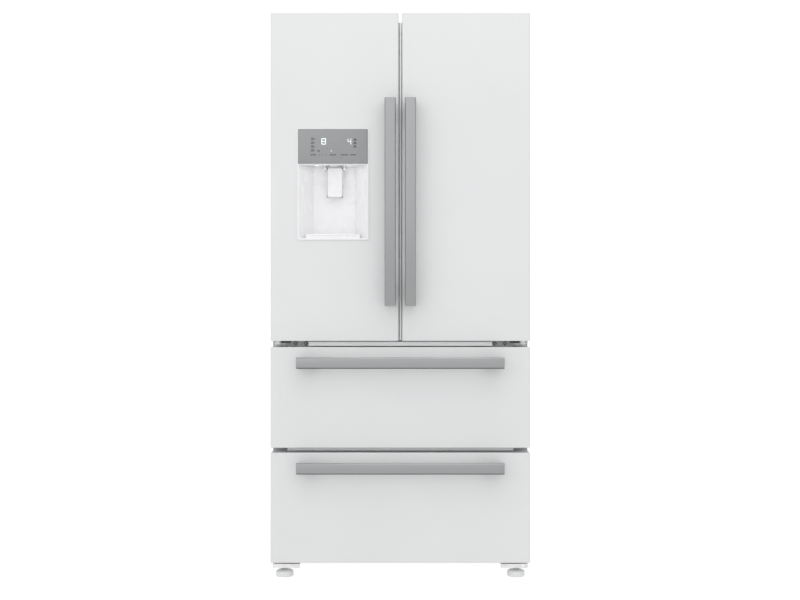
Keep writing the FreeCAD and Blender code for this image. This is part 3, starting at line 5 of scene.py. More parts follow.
import bmesh
import bpy
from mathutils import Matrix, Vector


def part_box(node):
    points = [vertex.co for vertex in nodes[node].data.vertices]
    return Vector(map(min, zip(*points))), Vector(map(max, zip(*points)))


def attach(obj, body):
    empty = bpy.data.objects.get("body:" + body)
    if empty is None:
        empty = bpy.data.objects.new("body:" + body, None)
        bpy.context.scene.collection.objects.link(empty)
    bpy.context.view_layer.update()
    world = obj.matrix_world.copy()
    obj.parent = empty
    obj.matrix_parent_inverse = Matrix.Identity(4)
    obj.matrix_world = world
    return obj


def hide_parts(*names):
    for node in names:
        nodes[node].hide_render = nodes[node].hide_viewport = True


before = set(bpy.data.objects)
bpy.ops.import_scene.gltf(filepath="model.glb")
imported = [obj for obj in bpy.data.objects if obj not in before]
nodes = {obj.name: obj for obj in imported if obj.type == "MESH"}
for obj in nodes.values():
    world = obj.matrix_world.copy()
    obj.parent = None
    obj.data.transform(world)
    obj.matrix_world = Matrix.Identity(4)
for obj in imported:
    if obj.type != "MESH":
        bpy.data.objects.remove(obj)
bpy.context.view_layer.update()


# ---------------------------------------------------------------- modelling by hand
def clear_selection():
    if bpy.context.object and bpy.context.object.mode != "OBJECT":
        bpy.ops.object.mode_set(mode="OBJECT")
    bpy.ops.object.select_all(action="DESELECT")


def only(piece):
    clear_selection()
    piece.select_set(True)
    bpy.context.view_layer.objects.active = piece


def named(name):
    piece = bpy.context.object
    piece.name = name
    piece.data.name = name
    return piece


def settle(piece):
    """Puts the piece's origin on the row's origin and keeps its place in its mesh."""
    only(piece)
    bpy.ops.object.transform_apply(location=True, rotation=True, scale=True)
    return piece


def start_block(name, low, high):
    clear_selection()
    middle = [(a + b) / 2 for a, b in zip(low, high)]
    bpy.ops.mesh.primitive_cube_add(size=1, location=middle)
    piece = named(name)
    piece.scale = [b - a for a, b in zip(low, high)]
    return settle(piece)


TURNS = {"x": (0, math.pi / 2, 0), "y": (math.pi / 2, 0, 0), "z": (0, 0, 0)}


def start_disc(name, radius, thickness, middle, axis="z", sides=32):
    clear_selection()
    bpy.ops.mesh.primitive_cylinder_add(
        vertices=sides, radius=radius, depth=thickness, location=middle, rotation=TURNS[axis]
    )
    return settle(named(name))


def pick(piece, test, kind="FACE"):
    """Opens the piece for editing and selects the faces or edges that pass the test."""
    only(piece)
    bpy.ops.object.mode_set(mode="EDIT")
    bpy.ops.mesh.select_mode(type=kind)
    bpy.ops.mesh.select_all(action="DESELECT")
    shape = bmesh.from_edit_mesh(piece.data)
    shape.normal_update()
    group = shape.faces if kind == "FACE" else shape.edges
    for element in group:
        element.select = test(element)
    shape.select_flush_mode()
    bmesh.update_edit_mesh(piece.data)


def close(piece):
    bpy.ops.object.mode_set(mode="OBJECT")
    return piece


def faces_towards(direction, limit=0.9):
    aim = Vector(direction)
    return lambda face: face.normal.dot(aim) > limit


def middle_of(edge):
    return (edge.verts[0].co + edge.verts[1].co) / 2


def sink_panel(piece, direction, border, depth):
    """Insets the faces that look one way and pushes them in by depth (out if it is negative)."""
    pick(piece, faces_towards(direction))
    bpy.ops.mesh.inset(thickness=border, depth=0)
    bpy.ops.mesh.inset(thickness=abs(depth) * 0.3, depth=-depth)
    return close(piece)


def soften(piece, width, segments=3, angle=30):
    only(piece)
    edge = piece.modifiers.new("soft edge", "BEVEL")
    edge.width = width
    edge.segments = segments
    edge.limit_method = "ANGLE"
    edge.angle_limit = math.radians(angle)
    edge.harden_normals = False
    bpy.ops.object.modifier_apply(modifier=edge.name)
    return smooth(piece)


def smooth(piece, angle=35):
    only(piece)
    bpy.ops.object.shade_smooth_by_angle(angle=math.radians(angle))
    return piece


def round_corners(piece, radius, test, segments=5):
    """Bevels the edges that pass the test, as a router would."""
    pick(piece, test, "EDGE")
    bpy.ops.mesh.bevel(offset=radius, segments=segments, affect="EDGES")
    return close(piece)


def along(axis):
    aim = Vector(axis)

    def test(edge):
        run = edge.verts[1].co - edge.verts[0].co
        return run.length > 1e-6 and abs(run.normalized().dot(aim)) > 0.999

    return test


def join(name, pieces):
    clear_selection()
    for piece in pieces:
        piece.select_set(True)
    bpy.context.view_layer.objects.active = pieces[0]
    if len(pieces) > 1:
        bpy.ops.object.join()
    return named(name)


def copy_of(piece, name, shift=(0, 0, 0), mirror_x=False):
    """A copy with its own mesh, shifted, or mirrored in the plane x = 0."""
    clear_selection()
    twin = piece.copy()
    twin.data = piece.data.copy()
    twin.name = name
    twin.data.name = name
    bpy.context.scene.collection.objects.link(twin)
    twin.location = twin.location + Vector(shift)
    settle(twin)
    if mirror_x:
        twin.scale = (-1, 1, 1)
        settle(twin)
        only(twin)
        bpy.ops.object.mode_set(mode="EDIT")
        bpy.ops.mesh.select_all(action="SELECT")
        bpy.ops.mesh.normals_make_consistent(inside=False)
        bpy.ops.object.mode_set(mode="OBJECT")
    return twin


AXES = {"x": Vector((1, 0, 0)), "y": Vector((0, 1, 0)), "z": Vector((0, 0, 1))}


def corners(node):
    low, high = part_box(node)
    return Vector(low), Vector(high)


def solid_boxes(node):
    """The lowest and highest corners of each separate solid of a CAD node, lowest solid first."""
    mesh = nodes[node].data
    owner = {}

    def root(key):
        while owner[key] != key:
            owner[key] = owner[owner[key]]
            key = owner[key]
        return key

    keys = [tuple(round(c, 5) for c in vertex.co) for vertex in mesh.vertices]
    for key in keys:
        owner.setdefault(key, key)
    for polygon in mesh.polygons:
        first = root(keys[polygon.vertices[0]])
        for index in polygon.vertices[1:]:
            owner[root(keys[index])] = first
            first = root(first)
    groups = {}
    for key in owner:
        groups.setdefault(root(key), []).append(key)
    boxes = []
    for points in groups.values():
        low = Vector([min(p[i] for p in points) for i in range(3)])
        high = Vector([max(p[i] for p in points) for i in range(3)])
        boxes.append((low, high))
    return sorted(boxes, key=lambda pair: (round(pair[0].z, 4), pair[0].x))


def shaped_block(name, low, high, edge=0.0008, corner=0.0, axis="z", segments=2):
    """A block with its corners along one axis rounded over and all its edges broken."""
    piece = start_block(name, low, high)
    if corner:
        round_corners(piece, corner, along(AXES[axis]))
    return soften(piece, edge, segments)


def start_ring(name, low, high, border, axis="y", outer_corner=0.0, inner_corner=0.0):
    """A flat frame: a block whose two faces along the axis are inset and cut through."""
    low = Vector(low)
    high = Vector(high)
    piece = start_block(name, low, high)
    aim = AXES[axis]
    pick(piece, lambda face: abs(face.normal.dot(aim)) > 0.9)
    bpy.ops.mesh.inset(thickness=border, depth=0, use_individual=True)
    bpy.ops.mesh.delete(type="FACE")
    bpy.ops.mesh.select_mode(type="EDGE")
    bpy.ops.mesh.select_non_manifold(extend=False)
    bpy.ops.mesh.bridge_edge_loops()
    bpy.ops.mesh.select_all(action="SELECT")
    bpy.ops.mesh.normals_make_consistent(inside=False)
    close(piece)
    across = [i for i in range(3) if abs(aim[i]) < 0.5]

    def at_rim(edge):
        middle = middle_of(edge)
        return all(min(abs(middle[i] - low[i]), abs(middle[i] - high[i])) < 1e-5 for i in across)

    runs_through = along(aim)
    if inner_corner:
        round_corners(piece, inner_corner, lambda edge: runs_through(edge) and not at_rim(edge))
    if outer_corner:
        round_corners(piece, outer_corner, lambda edge: runs_through(edge) and at_rim(edge))
    return piece


def turned(name, foot, direction, steps, sides=32):
    """A turned piece, drawn out of a disc step by step; each step is a rise and the radius it ends at."""
    aim = Vector(direction)
    foot = Vector(foot)
    rise, radius = steps[0]
    axis = "xyz"[max(range(3), key=lambda i: abs(aim[i]))]
    piece = start_disc(name, radius, rise, foot + aim * rise / 2, axis, sides)
    top = rise
    for rise, new_radius in steps[1:]:
        level = (foot + aim * top).dot(aim)
        pick(piece, lambda face: face.normal.dot(aim) > 0.99
             and abs(face.calc_center_median().dot(aim) - level) < 1e-5)
        bpy.ops.mesh.extrude_region_move(TRANSFORM_OT_translate={"value": aim * rise})
        top += rise
        ratio = new_radius / radius
        value = [1.0 if abs(aim[i]) > 0.5 else ratio for i in range(3)]
        bpy.ops.transform.resize(value=value, center_override=foot + aim * top)
        radius = new_radius
        close(piece)
    return smooth(piece, 40)


def screw(name, place, direction, radius=0.004):
    """A washer-head screw with a round driving socket."""
    return turned(
        name, place, direction,
        [(0.0006, radius), (0.0, radius * 0.78), (0.0010, radius * 0.72), (0.0004, radius * 0.5),
         (0.0, radius * 0.36), (-0.0010, radius * 0.34)],
        24,
    )


def hex_bolt(name, place, direction, radius=0.0055):
    """A hexagon head with its turned face, on a round washer."""
    washer_thickness = 0.0012
    washer_steps = [(0.0008, radius * 1.25), (washer_thickness - 0.0008, radius * 1.18)]
    washer = turned("washer", place, direction, washer_steps, 32)
    head_foot = Vector(place) + Vector(direction) * washer_thickness
    head = turned("head", head_foot, direction, [(0.0026, radius), (0.0008, radius * 0.86)], 6)
    return join(name, [washer, head])


def repeated(name, first, shifts):
    """One piece made of the first and of shifted copies of it."""
    return join(name, [first] + [copy_of(first, name + "_copy", shift) for shift in shifts])


def both_sides(piece, name):
    """A pair of pieces, the second mirrored to the other side of the appliance, as one."""
    return join(name, [piece, copy_of(piece, name + "_twin", mirror_x=True)])


def finish_piece(piece, body, finish, stands_for=()):
    """Gives a piece its finish, and fixes it to a body of the frame."""
    piece.data.materials.clear()
    piece.data.materials.append(finish)
    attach(piece, body)
    if stands_for:
        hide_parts(*stands_for)
    return piece


# ---------------------------------------------------------------- shader building
CLOUD_LOW = 0.3  # the range that a soft noise really takes
CLOUD_HIGH = 0.7


def add(tree, kind, **values):
    node = tree.nodes.new(kind)
    for key, value in values.items():
        setattr(node, key, value)
    return node


def wire(tree, value, socket):
    """Links an output to a socket, or sets the socket to a plain value."""
    if isinstance(value, bpy.types.NodeSocket):
        tree.links.new(value, socket)
    else:
        socket.default_value = value


def noise(tree, source, scale, detail, distortion=0.0):
    node = add(tree, "ShaderNodeTexNoise")
    wire(tree, scale, node.inputs["Scale"])
    node.inputs["Detail"].default_value = detail
    node.inputs["Distortion"].default_value = distortion
    tree.links.new(source, node.inputs["Vector"])
    return node.outputs["Fac"]


def cells(tree, source, scale):
    node = add(tree, "ShaderNodeTexVoronoi")
    node.inputs["Scale"].default_value = scale
    tree.links.new(source, node.inputs["Vector"])
    return node


def spread(tree, source, low, high, new_low=0.0, new_high=1.0):
    node = add(tree, "ShaderNodeMapRange")
    tree.links.new(source, node.inputs["Value"])
    for label, value in (("From Min", low), ("From Max", high), ("To Min", new_low), ("To Max", new_high)):
        node.inputs[label].default_value = value
    return node.outputs["Result"]


def clouds(tree, source, scale, detail, new_low=0.0, new_high=1.0):
    return spread(tree, noise(tree, source, scale, detail), CLOUD_LOW, CLOUD_HIGH, new_low, new_high)


def math_node(tree, operation, *values, clamp=False):
    node = add(tree, "ShaderNodeMath", operation=operation, use_clamp=clamp)
    for slot, value in enumerate(values):
        wire(tree, value, node.inputs[slot])
    return node.outputs[0]


def vector_node(tree, operation, first, second):
    node = add(tree, "ShaderNodeVectorMath", operation=operation)
    wire(tree, first, node.inputs[0])
    wire(tree, second, node.inputs[1])
    return node


def blend_colours(tree, factor, first, second):
    node = add(tree, "ShaderNodeMix", data_type="RGBA")
    wire(tree, factor, node.inputs["Factor"])
    for slot, value in ((6, first), (7, second)):
        wire(tree, value + (1.0,) if isinstance(value, tuple) else value, node.inputs[slot])
    return node.outputs[2]


def shade(colour, amount):
    return tuple(min(1.0, c * amount) for c in colour)


def set_bump(tree, surface, height, strength, distance):
    bump = add(tree, "ShaderNodeBump")
    bump.inputs["Strength"].default_value = strength
    bump.inputs["Distance"].default_value = distance
    tree.links.new(height, bump.inputs["Height"])
    tree.links.new(bump.outputs["Normal"], surface.inputs["Normal"])


# ---------------------------------------------------------------- shared surface effects
def make_group(name, outputs, extra_input=None):
    """A node group with a Vector input, one more plain input if it is given, and plain outputs."""
    group = bpy.data.node_groups.new(name, "ShaderNodeTree")
    group.interface.new_socket(name="Vector", in_out="INPUT", socket_type="NodeSocketVector")
    if extra_input:
        label, value = extra_input
        socket = group.interface.new_socket(name=label, in_out="INPUT", socket_type="NodeSocketFloat")
        socket.default_value = value
    for label in outputs:
        group.interface.new_socket(name=label, in_out="OUTPUT", socket_type="NodeSocketFloat")
    return group, group.nodes.new("NodeGroupInput").outputs, group.nodes.new("NodeGroupOutput").inputs


def build_paint_texture():
    """The fine ripple of sprayed enamel and its slow drift in gloss."""
    group, given, result = make_group("sprayed paint", ("Height", "Gloss Drift"), ("Ripple Scale", 420.0))
    ripple = noise(group, given["Vector"], given["Ripple Scale"], 2.0)
    group.links.new(ripple, result["Height"])
    group.links.new(clouds(group, given["Vector"], 3.1, 3.0), result["Gloss Drift"])
    return group


def build_brushed_texture():
    """Long fine scratches left by a belt. Vector runs along the grain on its X."""
    group, given, result = make_group("brushed grain", ("Lines",))
    fine = vector_node(group, "MULTIPLY", given["Vector"], (6.0, 2600.0, 2600.0)).outputs[0]
    coarse = vector_node(group, "MULTIPLY", given["Vector"], (2.0, 700.0, 700.0)).outputs[0]
    coarse_share = math_node(group, "MULTIPLY", noise(group, coarse, 1.0, 2.0), 0.35)
    lines = math_node(group, "MULTIPLY_ADD", noise(group, fine, 1.0, 3.0), 0.65, coarse_share)
    group.links.new(lines, result["Lines"])
    return group


def build_rim_wear_and_highlight():
    """Finds rims and corners, broken up so that the rubbing there is uneven. The lighter colour laid there is
    partly rubbed wear and partly painted highlight.
    """
    group, given, result = make_group("rim wear and highlight", ("Wear and Highlight",), ("Reach", 0.002))
    rounded = add(group, "ShaderNodeBevel", samples=4)
    group.links.new(given["Reach"], rounded.inputs["Radius"])
    flat = add(group, "ShaderNodeNewGeometry")
    facing = vector_node(group, "DOT_PRODUCT", rounded.outputs["Normal"], flat.outputs["Normal"])
    rim = spread(group, facing.outputs["Value"], 0.995, 0.86)
    broken = spread(group, noise(group, given["Vector"], 55.0, 5.0), 0.42, 0.62)
    group.links.new(math_node(group, "MULTIPLY", rim, broken, clamp=True), result["Wear and Highlight"])
    return group


def build_handling_marks():
    """Faint smears where hands and cloths have been, and a little dust in the open."""
    group, given, result = make_group("handling marks", ("Smears", "Dust"))
    swirl = noise(group, given["Vector"], 7.0, 4.0, distortion=1.6)
    group.links.new(spread(group, swirl, 0.52, 0.78), result["Smears"])
    dust = noise(group, given["Vector"], 900.0, 2.0)
    group.links.new(spread(group, dust, 0.62, 0.75), result["Dust"])
    return group


paint_texture = build_paint_texture()
brushed_texture = build_brushed_texture()
# rim mask for lighter edges: partly rubbed wear, partly painted highlight
rim_wear_and_highlight = build_rim_wear_and_highlight()
handling_marks = build_handling_marks()


def use_group(tree, group, vector, **values):
    """A node group in a material. Returns its outputs."""
    node = add(tree, "ShaderNodeGroup")
    node.node_tree = group
    tree.links.new(vector, node.inputs["Vector"])
    for label, value in values.items():
        node.inputs[label.replace("_", " ")].default_value = value
    return node.outputs


def rub_and_highlight_rims(tree, surface, place, tone, worn_and_lit, reach, amount):
    """Sets the base colour: the tone, with a lighter colour along rims and corners that is partly rubbed wear
    and partly painted highlight.
    """
    rim_wear_and_light = use_group(tree, rim_wear_and_highlight, place, Reach=reach)
    rubbed_and_lit = math_node(tree, "MULTIPLY", rim_wear_and_light["Wear and Highlight"], amount)
    tree.links.new(blend_colours(tree, rubbed_and_lit, tone, worn_and_lit), surface.inputs["Base Color"])


def smear_gloss(tree, surface, place, amount, gloss):
    """Sets the roughness: the gloss, a little duller where there are smears."""
    smears = use_group(tree, handling_marks, place)["Smears"]
    tree.links.new(math_node(tree, "MULTIPLY_ADD", smears, amount, gloss), surface.inputs["Roughness"])


# ---------------------------------------------------------------- kinds of finish
def start_finish(name):
    finish = bpy.data.materials.new(name)
    finish.use_nodes = True
    tree = finish.node_tree
    place = add(tree, "ShaderNodeTexCoord").outputs["Object"]
    return finish, tree, tree.nodes["Principled BSDF"], place


def painted(name, colour, gloss, ripple_scale, ripple_depth, coat=0.0):
    """Sprayed and baked enamel on sheet steel."""
    finish, tree, surface, place = start_finish(name)
    paint = use_group(tree, paint_texture, place, Ripple_Scale=ripple_scale)
    smears = use_group(tree, handling_marks, place)["Smears"]
    tone = blend_colours(tree, paint["Gloss Drift"], shade(colour, 0.985), shade(colour, 1.01))
    dulled = blend_colours(tree, math_node(tree, "MULTIPLY", smears, 0.25), tone, shade(colour, 0.97))
    # lighter rims: partly rubbed wear, partly painted highlight on the enamel's edges
    rub_and_highlight_rims(tree, surface, place, dulled, shade(colour, 1.12), reach=0.0012, amount=0.35)
    smeared = math_node(tree, "MULTIPLY_ADD", smears, 0.07, gloss)
    drifted = math_node(tree, "MULTIPLY_ADD", paint["Gloss Drift"], 0.03, smeared)
    tree.links.new(drifted, surface.inputs["Roughness"])
    surface.inputs["Coat Weight"].default_value = coat
    surface.inputs["Coat Roughness"].default_value = 0.12
    set_bump(tree, surface, paint["Height"], 0.25, ripple_depth)
    return finish


def moulded(name, colour, gloss, grain_scale, grain_depth, mottle):
    """Moulded plastic with a fine grain, or nearly smooth where the depth is small."""
    finish, tree, surface, place = start_finish(name)
    cloud = clouds(tree, place, 12.0, 3.0)
    tone = blend_colours(tree, cloud, shade(colour, 1 - mottle), shade(colour, 1 + mottle))
    # lighter rims: partly rubbed wear, partly painted highlight on the plastic's edges
    rub_and_highlight_rims(tree, surface, place, tone, shade(colour, 1.15), reach=0.0008, amount=0.3)
    smear_gloss(tree, surface, place, 0.08, gloss)
    set_bump(tree, surface, noise(tree, place, grain_scale, 3.0), 0.35, grain_depth)
    return finish


def brushed(name, colour, gloss, grain_axis):
    """Satin metal with its grain along one axis of the row."""
    finish, tree, surface, place = start_finish(name)
    mapping = add(tree, "ShaderNodeMapping")
    mapping.inputs["Rotation"].default_value = (0, math.pi / 2 if grain_axis == "z" else 0, 0)
    tree.links.new(place, mapping.inputs["Vector"])
    lines = use_group(tree, brushed_texture, mapping.outputs["Vector"])["Lines"]
    tone = blend_colours(tree, lines, shade(colour, 0.9), shade(colour, 1.08))
    # lighter rims: partly rubbed wear, partly painted highlight on the metal's edges
    rub_and_highlight_rims(tree, surface, place, tone, shade(colour, 1.3), reach=0.001, amount=0.4)
    surface.inputs["Metallic"].default_value = 1.0
    uneven = spread(tree, lines, CLOUD_LOW, CLOUD_HIGH, gloss - 0.06, gloss + 0.06)
    tree.links.new(uneven, surface.inputs["Roughness"])
    set_bump(tree, surface, lines, 0.3, 0.00004)
    return finish


def galvanised(name, colour, gloss):
    """Zinc-coated sheet with its faint crystal pattern."""
    finish, tree, surface, place = start_finish(name)
    value = add(tree, "ShaderNodeSeparateColor")
    tree.links.new(cells(tree, place, 95.0).outputs["Color"], value.inputs["Color"])
    tone = blend_colours(tree, value.outputs["Red"], shade(colour, 0.88), shade(colour, 1.08))
    tree.links.new(tone, surface.inputs["Base Color"])
    surface.inputs["Metallic"].default_value = 0.85
    uneven = spread(tree, value.outputs["Green"], 0.0, 1.0, gloss - 0.05, gloss + 0.08)
    tree.links.new(uneven, surface.inputs["Roughness"])
    set_bump(tree, surface, noise(tree, place, 240.0, 2.0), 0.2, 0.00008)
    return finish


def seal_rubber(name, colour):
    """Soft extruded seal: matt, with dust in its skin."""
    finish, tree, surface, place = start_finish(name)
    cloud = clouds(tree, place, 40.0, 4.0)
    tone = blend_colours(tree, cloud, shade(colour, 0.92), shade(colour, 1.06))
    dusty = math_node(tree, "MULTIPLY", use_group(tree, handling_marks, place)["Dust"], 0.25)
    tree.links.new(blend_colours(tree, dusty, tone, shade(colour, 1.3)), surface.inputs["Base Color"])
    tree.links.new(spread(tree, cloud, 0, 1, 0.5, 0.66), surface.inputs["Roughness"])
    set_bump(tree, surface, noise(tree, place, 1400.0, 2.0), 0.3, 0.00005)
    return finish


def clear_moulding(name, colour, gloss, alpha):
    """See-through moulded plastic that thickens in tone towards its edges."""
    finish, tree, surface, place = start_finish(name)
    tone = blend_colours(tree, clouds(tree, place, 18.0, 3.0), shade(colour, 0.97), shade(colour, 1.02))
    tree.links.new(tone, surface.inputs["Base Color"])
    rim = add(tree, "ShaderNodeLayerWeight")
    rim.inputs["Blend"].default_value = 0.35
    thickness = spread(tree, rim.outputs["Facing"], 0.1, 1.0, alpha, min(1.0, alpha + 0.45))
    tree.links.new(thickness, surface.inputs["Alpha"])
    smear_gloss(tree, surface, place, 0.1, gloss)
    set_bump(tree, surface, noise(tree, place, 60.0, 2.0), 0.15, 0.0001)
    return finish


def shelf_pane(name):
    """Toughened float glass: clear through its face and green at its ground edge."""
    finish, tree, surface, place = start_finish(name)
    split = add(tree, "ShaderNodeSeparateXYZ")
    tree.links.new(add(tree, "ShaderNodeNewGeometry").outputs["Normal"], split.inputs["Vector"])
    face = spread(tree, math_node(tree, "ABSOLUTE", split.outputs["Z"]), 0.4, 0.8)
    tone = blend_colours(tree, face, (0.16, 0.42, 0.33), (0.86, 0.95, 0.92))
    tree.links.new(tone, surface.inputs["Base Color"])
    tree.links.new(spread(tree, face, 0, 1, 0.85, 0.16), surface.inputs["Alpha"])
    smear_gloss(tree, surface, place, 0.12, 0.03)
    surface.inputs["IOR"].default_value = 1.52
    return finish


def foamed(name, colour):
    """Rigid foam with its small closed cells."""
    finish, tree, surface, place = start_finish(name)
    tone = blend_colours(tree, clouds(tree, place, 14.0, 5.0), shade(colour, 0.86), shade(colour, 1.08))
    tree.links.new(tone, surface.inputs["Base Color"])
    surface.inputs["Roughness"].default_value = 0.92
    set_bump(tree, surface, cells(tree, place, 700.0).outputs["Distance"], 0.6, 0.0005)
    return finish


def seen_or_lighting(tree, lighting, seen):
    """A strength that differs between what the eye sees and what lights the object."""
    path = add(tree, "ShaderNodeLightPath")
    return spread(tree, path.outputs["Is Camera Ray"], 0.0, 1.0, lighting, seen)


def glowing(name, colour, strength, seen_strength=None):
    """A lamp's diffuser or a lit display mark, with its light slightly uneven."""
    finish, tree, surface, place = start_finish(name)
    lit = add(tree, "ShaderNodeVectorMath", operation="SCALE")
    lit.inputs[0].default_value = colour
    tree.links.new(clouds(tree, place, 30.0, 2.0, 0.86, 1.0), lit.inputs["Scale"])
    tree.links.new(lit.outputs[0], surface.inputs["Emission Color"])
    tree.links.new(lit.outputs[0], surface.inputs["Base Color"])
    surface.inputs["Emission Strength"].default_value = strength
    if seen_strength is not None:
        level = seen_or_lighting(tree, strength, seen_strength)
        tree.links.new(level, surface.inputs["Emission Strength"])
    surface.inputs["Roughness"].default_value = 0.4
    return finish


# ---------------------------------------------------------------- finishes
ENAMEL = (0.79, 0.795, 0.80)
door_enamel = painted("white door enamel", ENAMEL, 0.30, 520.0, 0.00006, coat=0.25)
cabinet_enamel = painted("grey cabinet enamel", (0.50, 0.505, 0.51), 0.46, 260.0, 0.00025)
beam_enamel = painted("beam enamel", (0.90, 0.905, 0.91), 0.4, 520.0, 0.00006)
black_enamel = painted("black pot enamel", (0.022, 0.022, 0.024), 0.38, 300.0, 0.0002)
handle_metal_upright = brushed("upright handle metal", (0.405, 0.41, 0.415), 0.34, "z")
handle_metal_level = brushed("level handle metal", (0.405, 0.41, 0.415), 0.34, "x")
chrome_metal = brushed("bright plated metal", (0.74, 0.745, 0.75), 0.16, "x")
dark_metal = brushed("blackened screw metal", (0.20, 0.20, 0.205), 0.35, "x")
coil_metal = brushed("fin metal", (0.62, 0.62, 0.62), 0.34, "z")
zinc_sheet = galvanised("zinc sheet", (0.56, 0.57, 0.58), 0.4)
bright_zinc = galvanised("bright zinc sheet", (0.93, 0.935, 0.94), 0.34)
liner_plastic = moulded("liner plastic", (0.82, 0.825, 0.83), 0.24, 160.0, 0.00008, 0.008)
white_plastic = moulded("white plastic", (0.83, 0.835, 0.84), 0.3, 900.0, 0.00002, 0.008)
niche_plastic = moulded("niche plastic", (0.93, 0.928, 0.94), 0.26, 900.0, 0.00001, 0.004)
cap_plastic = moulded("end cap plastic", (0.82, 0.825, 0.83), 0.5, 900.0, 0.00006, 0.02)
fascia_plastic = moulded("fascia plastic", (0.33, 0.335, 0.34), 0.26, 1200.0, 0.00001, 0.015)
dark_plastic = moulded("dark plastic", (0.035, 0.036, 0.038), 0.5, 700.0, 0.0001, 0.05)
grille_plastic = moulded("grille plastic", (0.07, 0.072, 0.075), 0.52, 600.0, 0.0001, 0.05)
foot_plastic = moulded("foot plastic", (0.86, 0.865, 0.87), 0.28, 600.0, 0.00003, 0.02)
roller_plastic = moulded("roller plastic", (0.10, 0.10, 0.105), 0.5, 600.0, 0.0001, 0.04)
grey_rubber = seal_rubber("grey seal rubber", (0.42, 0.425, 0.43))
clear_plastic = clear_moulding("clear plastic", (0.83, 0.90, 0.93), 0.08, 0.22)
milky_plastic = clear_moulding("milky plastic", (0.86, 0.90, 0.92), 0.22, 0.55)
shelf_glass = shelf_pane("shelf glass")
rigid_foam = foamed("rigid foam", (0.78, 0.68, 0.40))
lamp_light = glowing("lamp diffuser", (1.0, 0.98, 0.94), 1.1)
niche_light = glowing("niche lamp", (1.0, 0.99, 0.98), 16.0, 0.35)
display_light = glowing("display light", (0.9, 0.97, 1.0), 0.35)


def dress(finish, *names):
    """Gives CAD nodes their finish."""
    for name in names:
        mesh = nodes[name].data
        mesh.materials.clear()
        mesh.materials.append(finish)


dress(cabinet_enamel, "cabinet_wrapper", "hinge_covers")
dress(door_enamel, "left_door_skin", "right_door_skin", "upper_drawer_skin", "lower_drawer_skin")
dress(rigid_foam, "cabinet_insulation", "left_door_insulation", "right_door_insulation")
dress(liner_plastic, "fridge_liner", "freezer_liner", "left_door_liner", "right_door_liner")
dress(liner_plastic, "upper_drawer_core", "lower_drawer_core", "air_ducts", "upper_basket", "lower_basket")
dress(white_plastic, "shelf_trims", "mullion_guides", "water_tap")
dress(niche_plastic, "dispenser_housing", "drip_tray", "dispenser_paddle")
dress(milky_plastic, "water_tank")
dress(cap_plastic, "left_door_caps", "right_door_caps")
dress(grey_rubber, "left_door_gasket", "right_door_gasket", "upper_drawer_gasket", "lower_drawer_gasket")
dress(handle_metal_upright, "left_door_handle", "right_door_handle")
dress(handle_metal_level, "upper_drawer_handle", "lower_drawer_handle")
dress(bright_zinc, "base_frame")
dress(beam_enamel, "door_hinges")
dress(zinc_sheet, "fixed_rails", "upper_drawer_rails", "lower_drawer_rails")
dress(zinc_sheet, "upper_middle_rails", "lower_middle_rails")
dress(beam_enamel, "crossbeams", "mullion_beam")
dress(shelf_glass, "glass_shelves")
dress(clear_plastic, "crispers", "left_door_bins", "right_door_bins", "dairy_cover")
dress(coil_metal, "evaporator", "condenser")
dress(black_enamel, "compressor")
dress(dark_plastic, "evaporator_fan", "condenser_fan")
dress(grille_plastic, "machine_cover")
dress(fascia_plastic, "control_panel")
dress(foot_plastic, "left_foot", "right_foot")
dress(roller_plastic, "left_roller", "right_roller")


# ---------------------------------------------------------------- places
PIN_INSET = 0.022  # door's side edge to its hinge pin
PIN_DEPTH = 0.032  # door's face to its hinge pin
doors_low = corners("left_door_skin")[0]
face_y = doors_low.y
pin_x = -doors_low.x - PIN_INSET
pin_y = face_y + PIN_DEPTH
cabinet_low, cabinet_high = corners("cabinet_wrapper")
front_y = cabinet_low.y


# ---------------------------------------------------------------- handles
HANDLE_BAR = 0.015
HANDLE_CHAMFER = 0.003
POST_LENGTH = 0.064
POST_END_GAP = 0.002
POST_ROUND = 0.003
POST_FOOT = 0.005
BAR_BACK_ROUND = 0.0008
# depth of the dark strip that is painted shade under the level bars
SHADE_STRIP_DEPTH = 0.004


def handle_post(low, high, run):
    """One post with its softly spread foot against the front."""
    post = start_block("post", low, (high[0], high[1] - POST_FOOT, high[2]))
    round_corners(post, POST_ROUND, along(AXES["y"]), 4)
    for grow in (1.05, 1.0):
        pick(post, faces_towards((0, 1, 0)))
        bpy.ops.mesh.extrude_region_move(TRANSFORM_OT_translate={"value": (0, POST_FOOT / 2, 0)})
        value = [grow if i == run else 1.0 for i in range(3)]
        bpy.ops.transform.resize(value=value, center_override=(Vector(low) + Vector(high)) / 2)
        close(post)
    return smooth(post)


def build_bar_shade_strip(low, high, name, body, runs_along):
    """A dark strip let into the lower front chamfer of a level bar: painted shade in place of the shadow
    along the bar's lower edge.
    """
    inset = 0.0001
    end = 0.002
    shade_strip = start_block(
        name + "_shade_strip",
        (low.x + end, low.y + inset, low.z + inset), (high.x - end, low.y + SHADE_STRIP_DEPTH, low.z + SHADE_STRIP_DEPTH),
    )

    def at_chamfer(edge):
        middle = middle_of(edge)
        return runs_along(edge) and middle.y < low.y + SHADE_STRIP_DEPTH / 2 and middle.z < low.z + SHADE_STRIP_DEPTH / 2

    round_corners(shade_strip, HANDLE_CHAMFER - 3 * inset, at_chamfer, 1)
    finish_piece(shade_strip, body, dark_plastic)


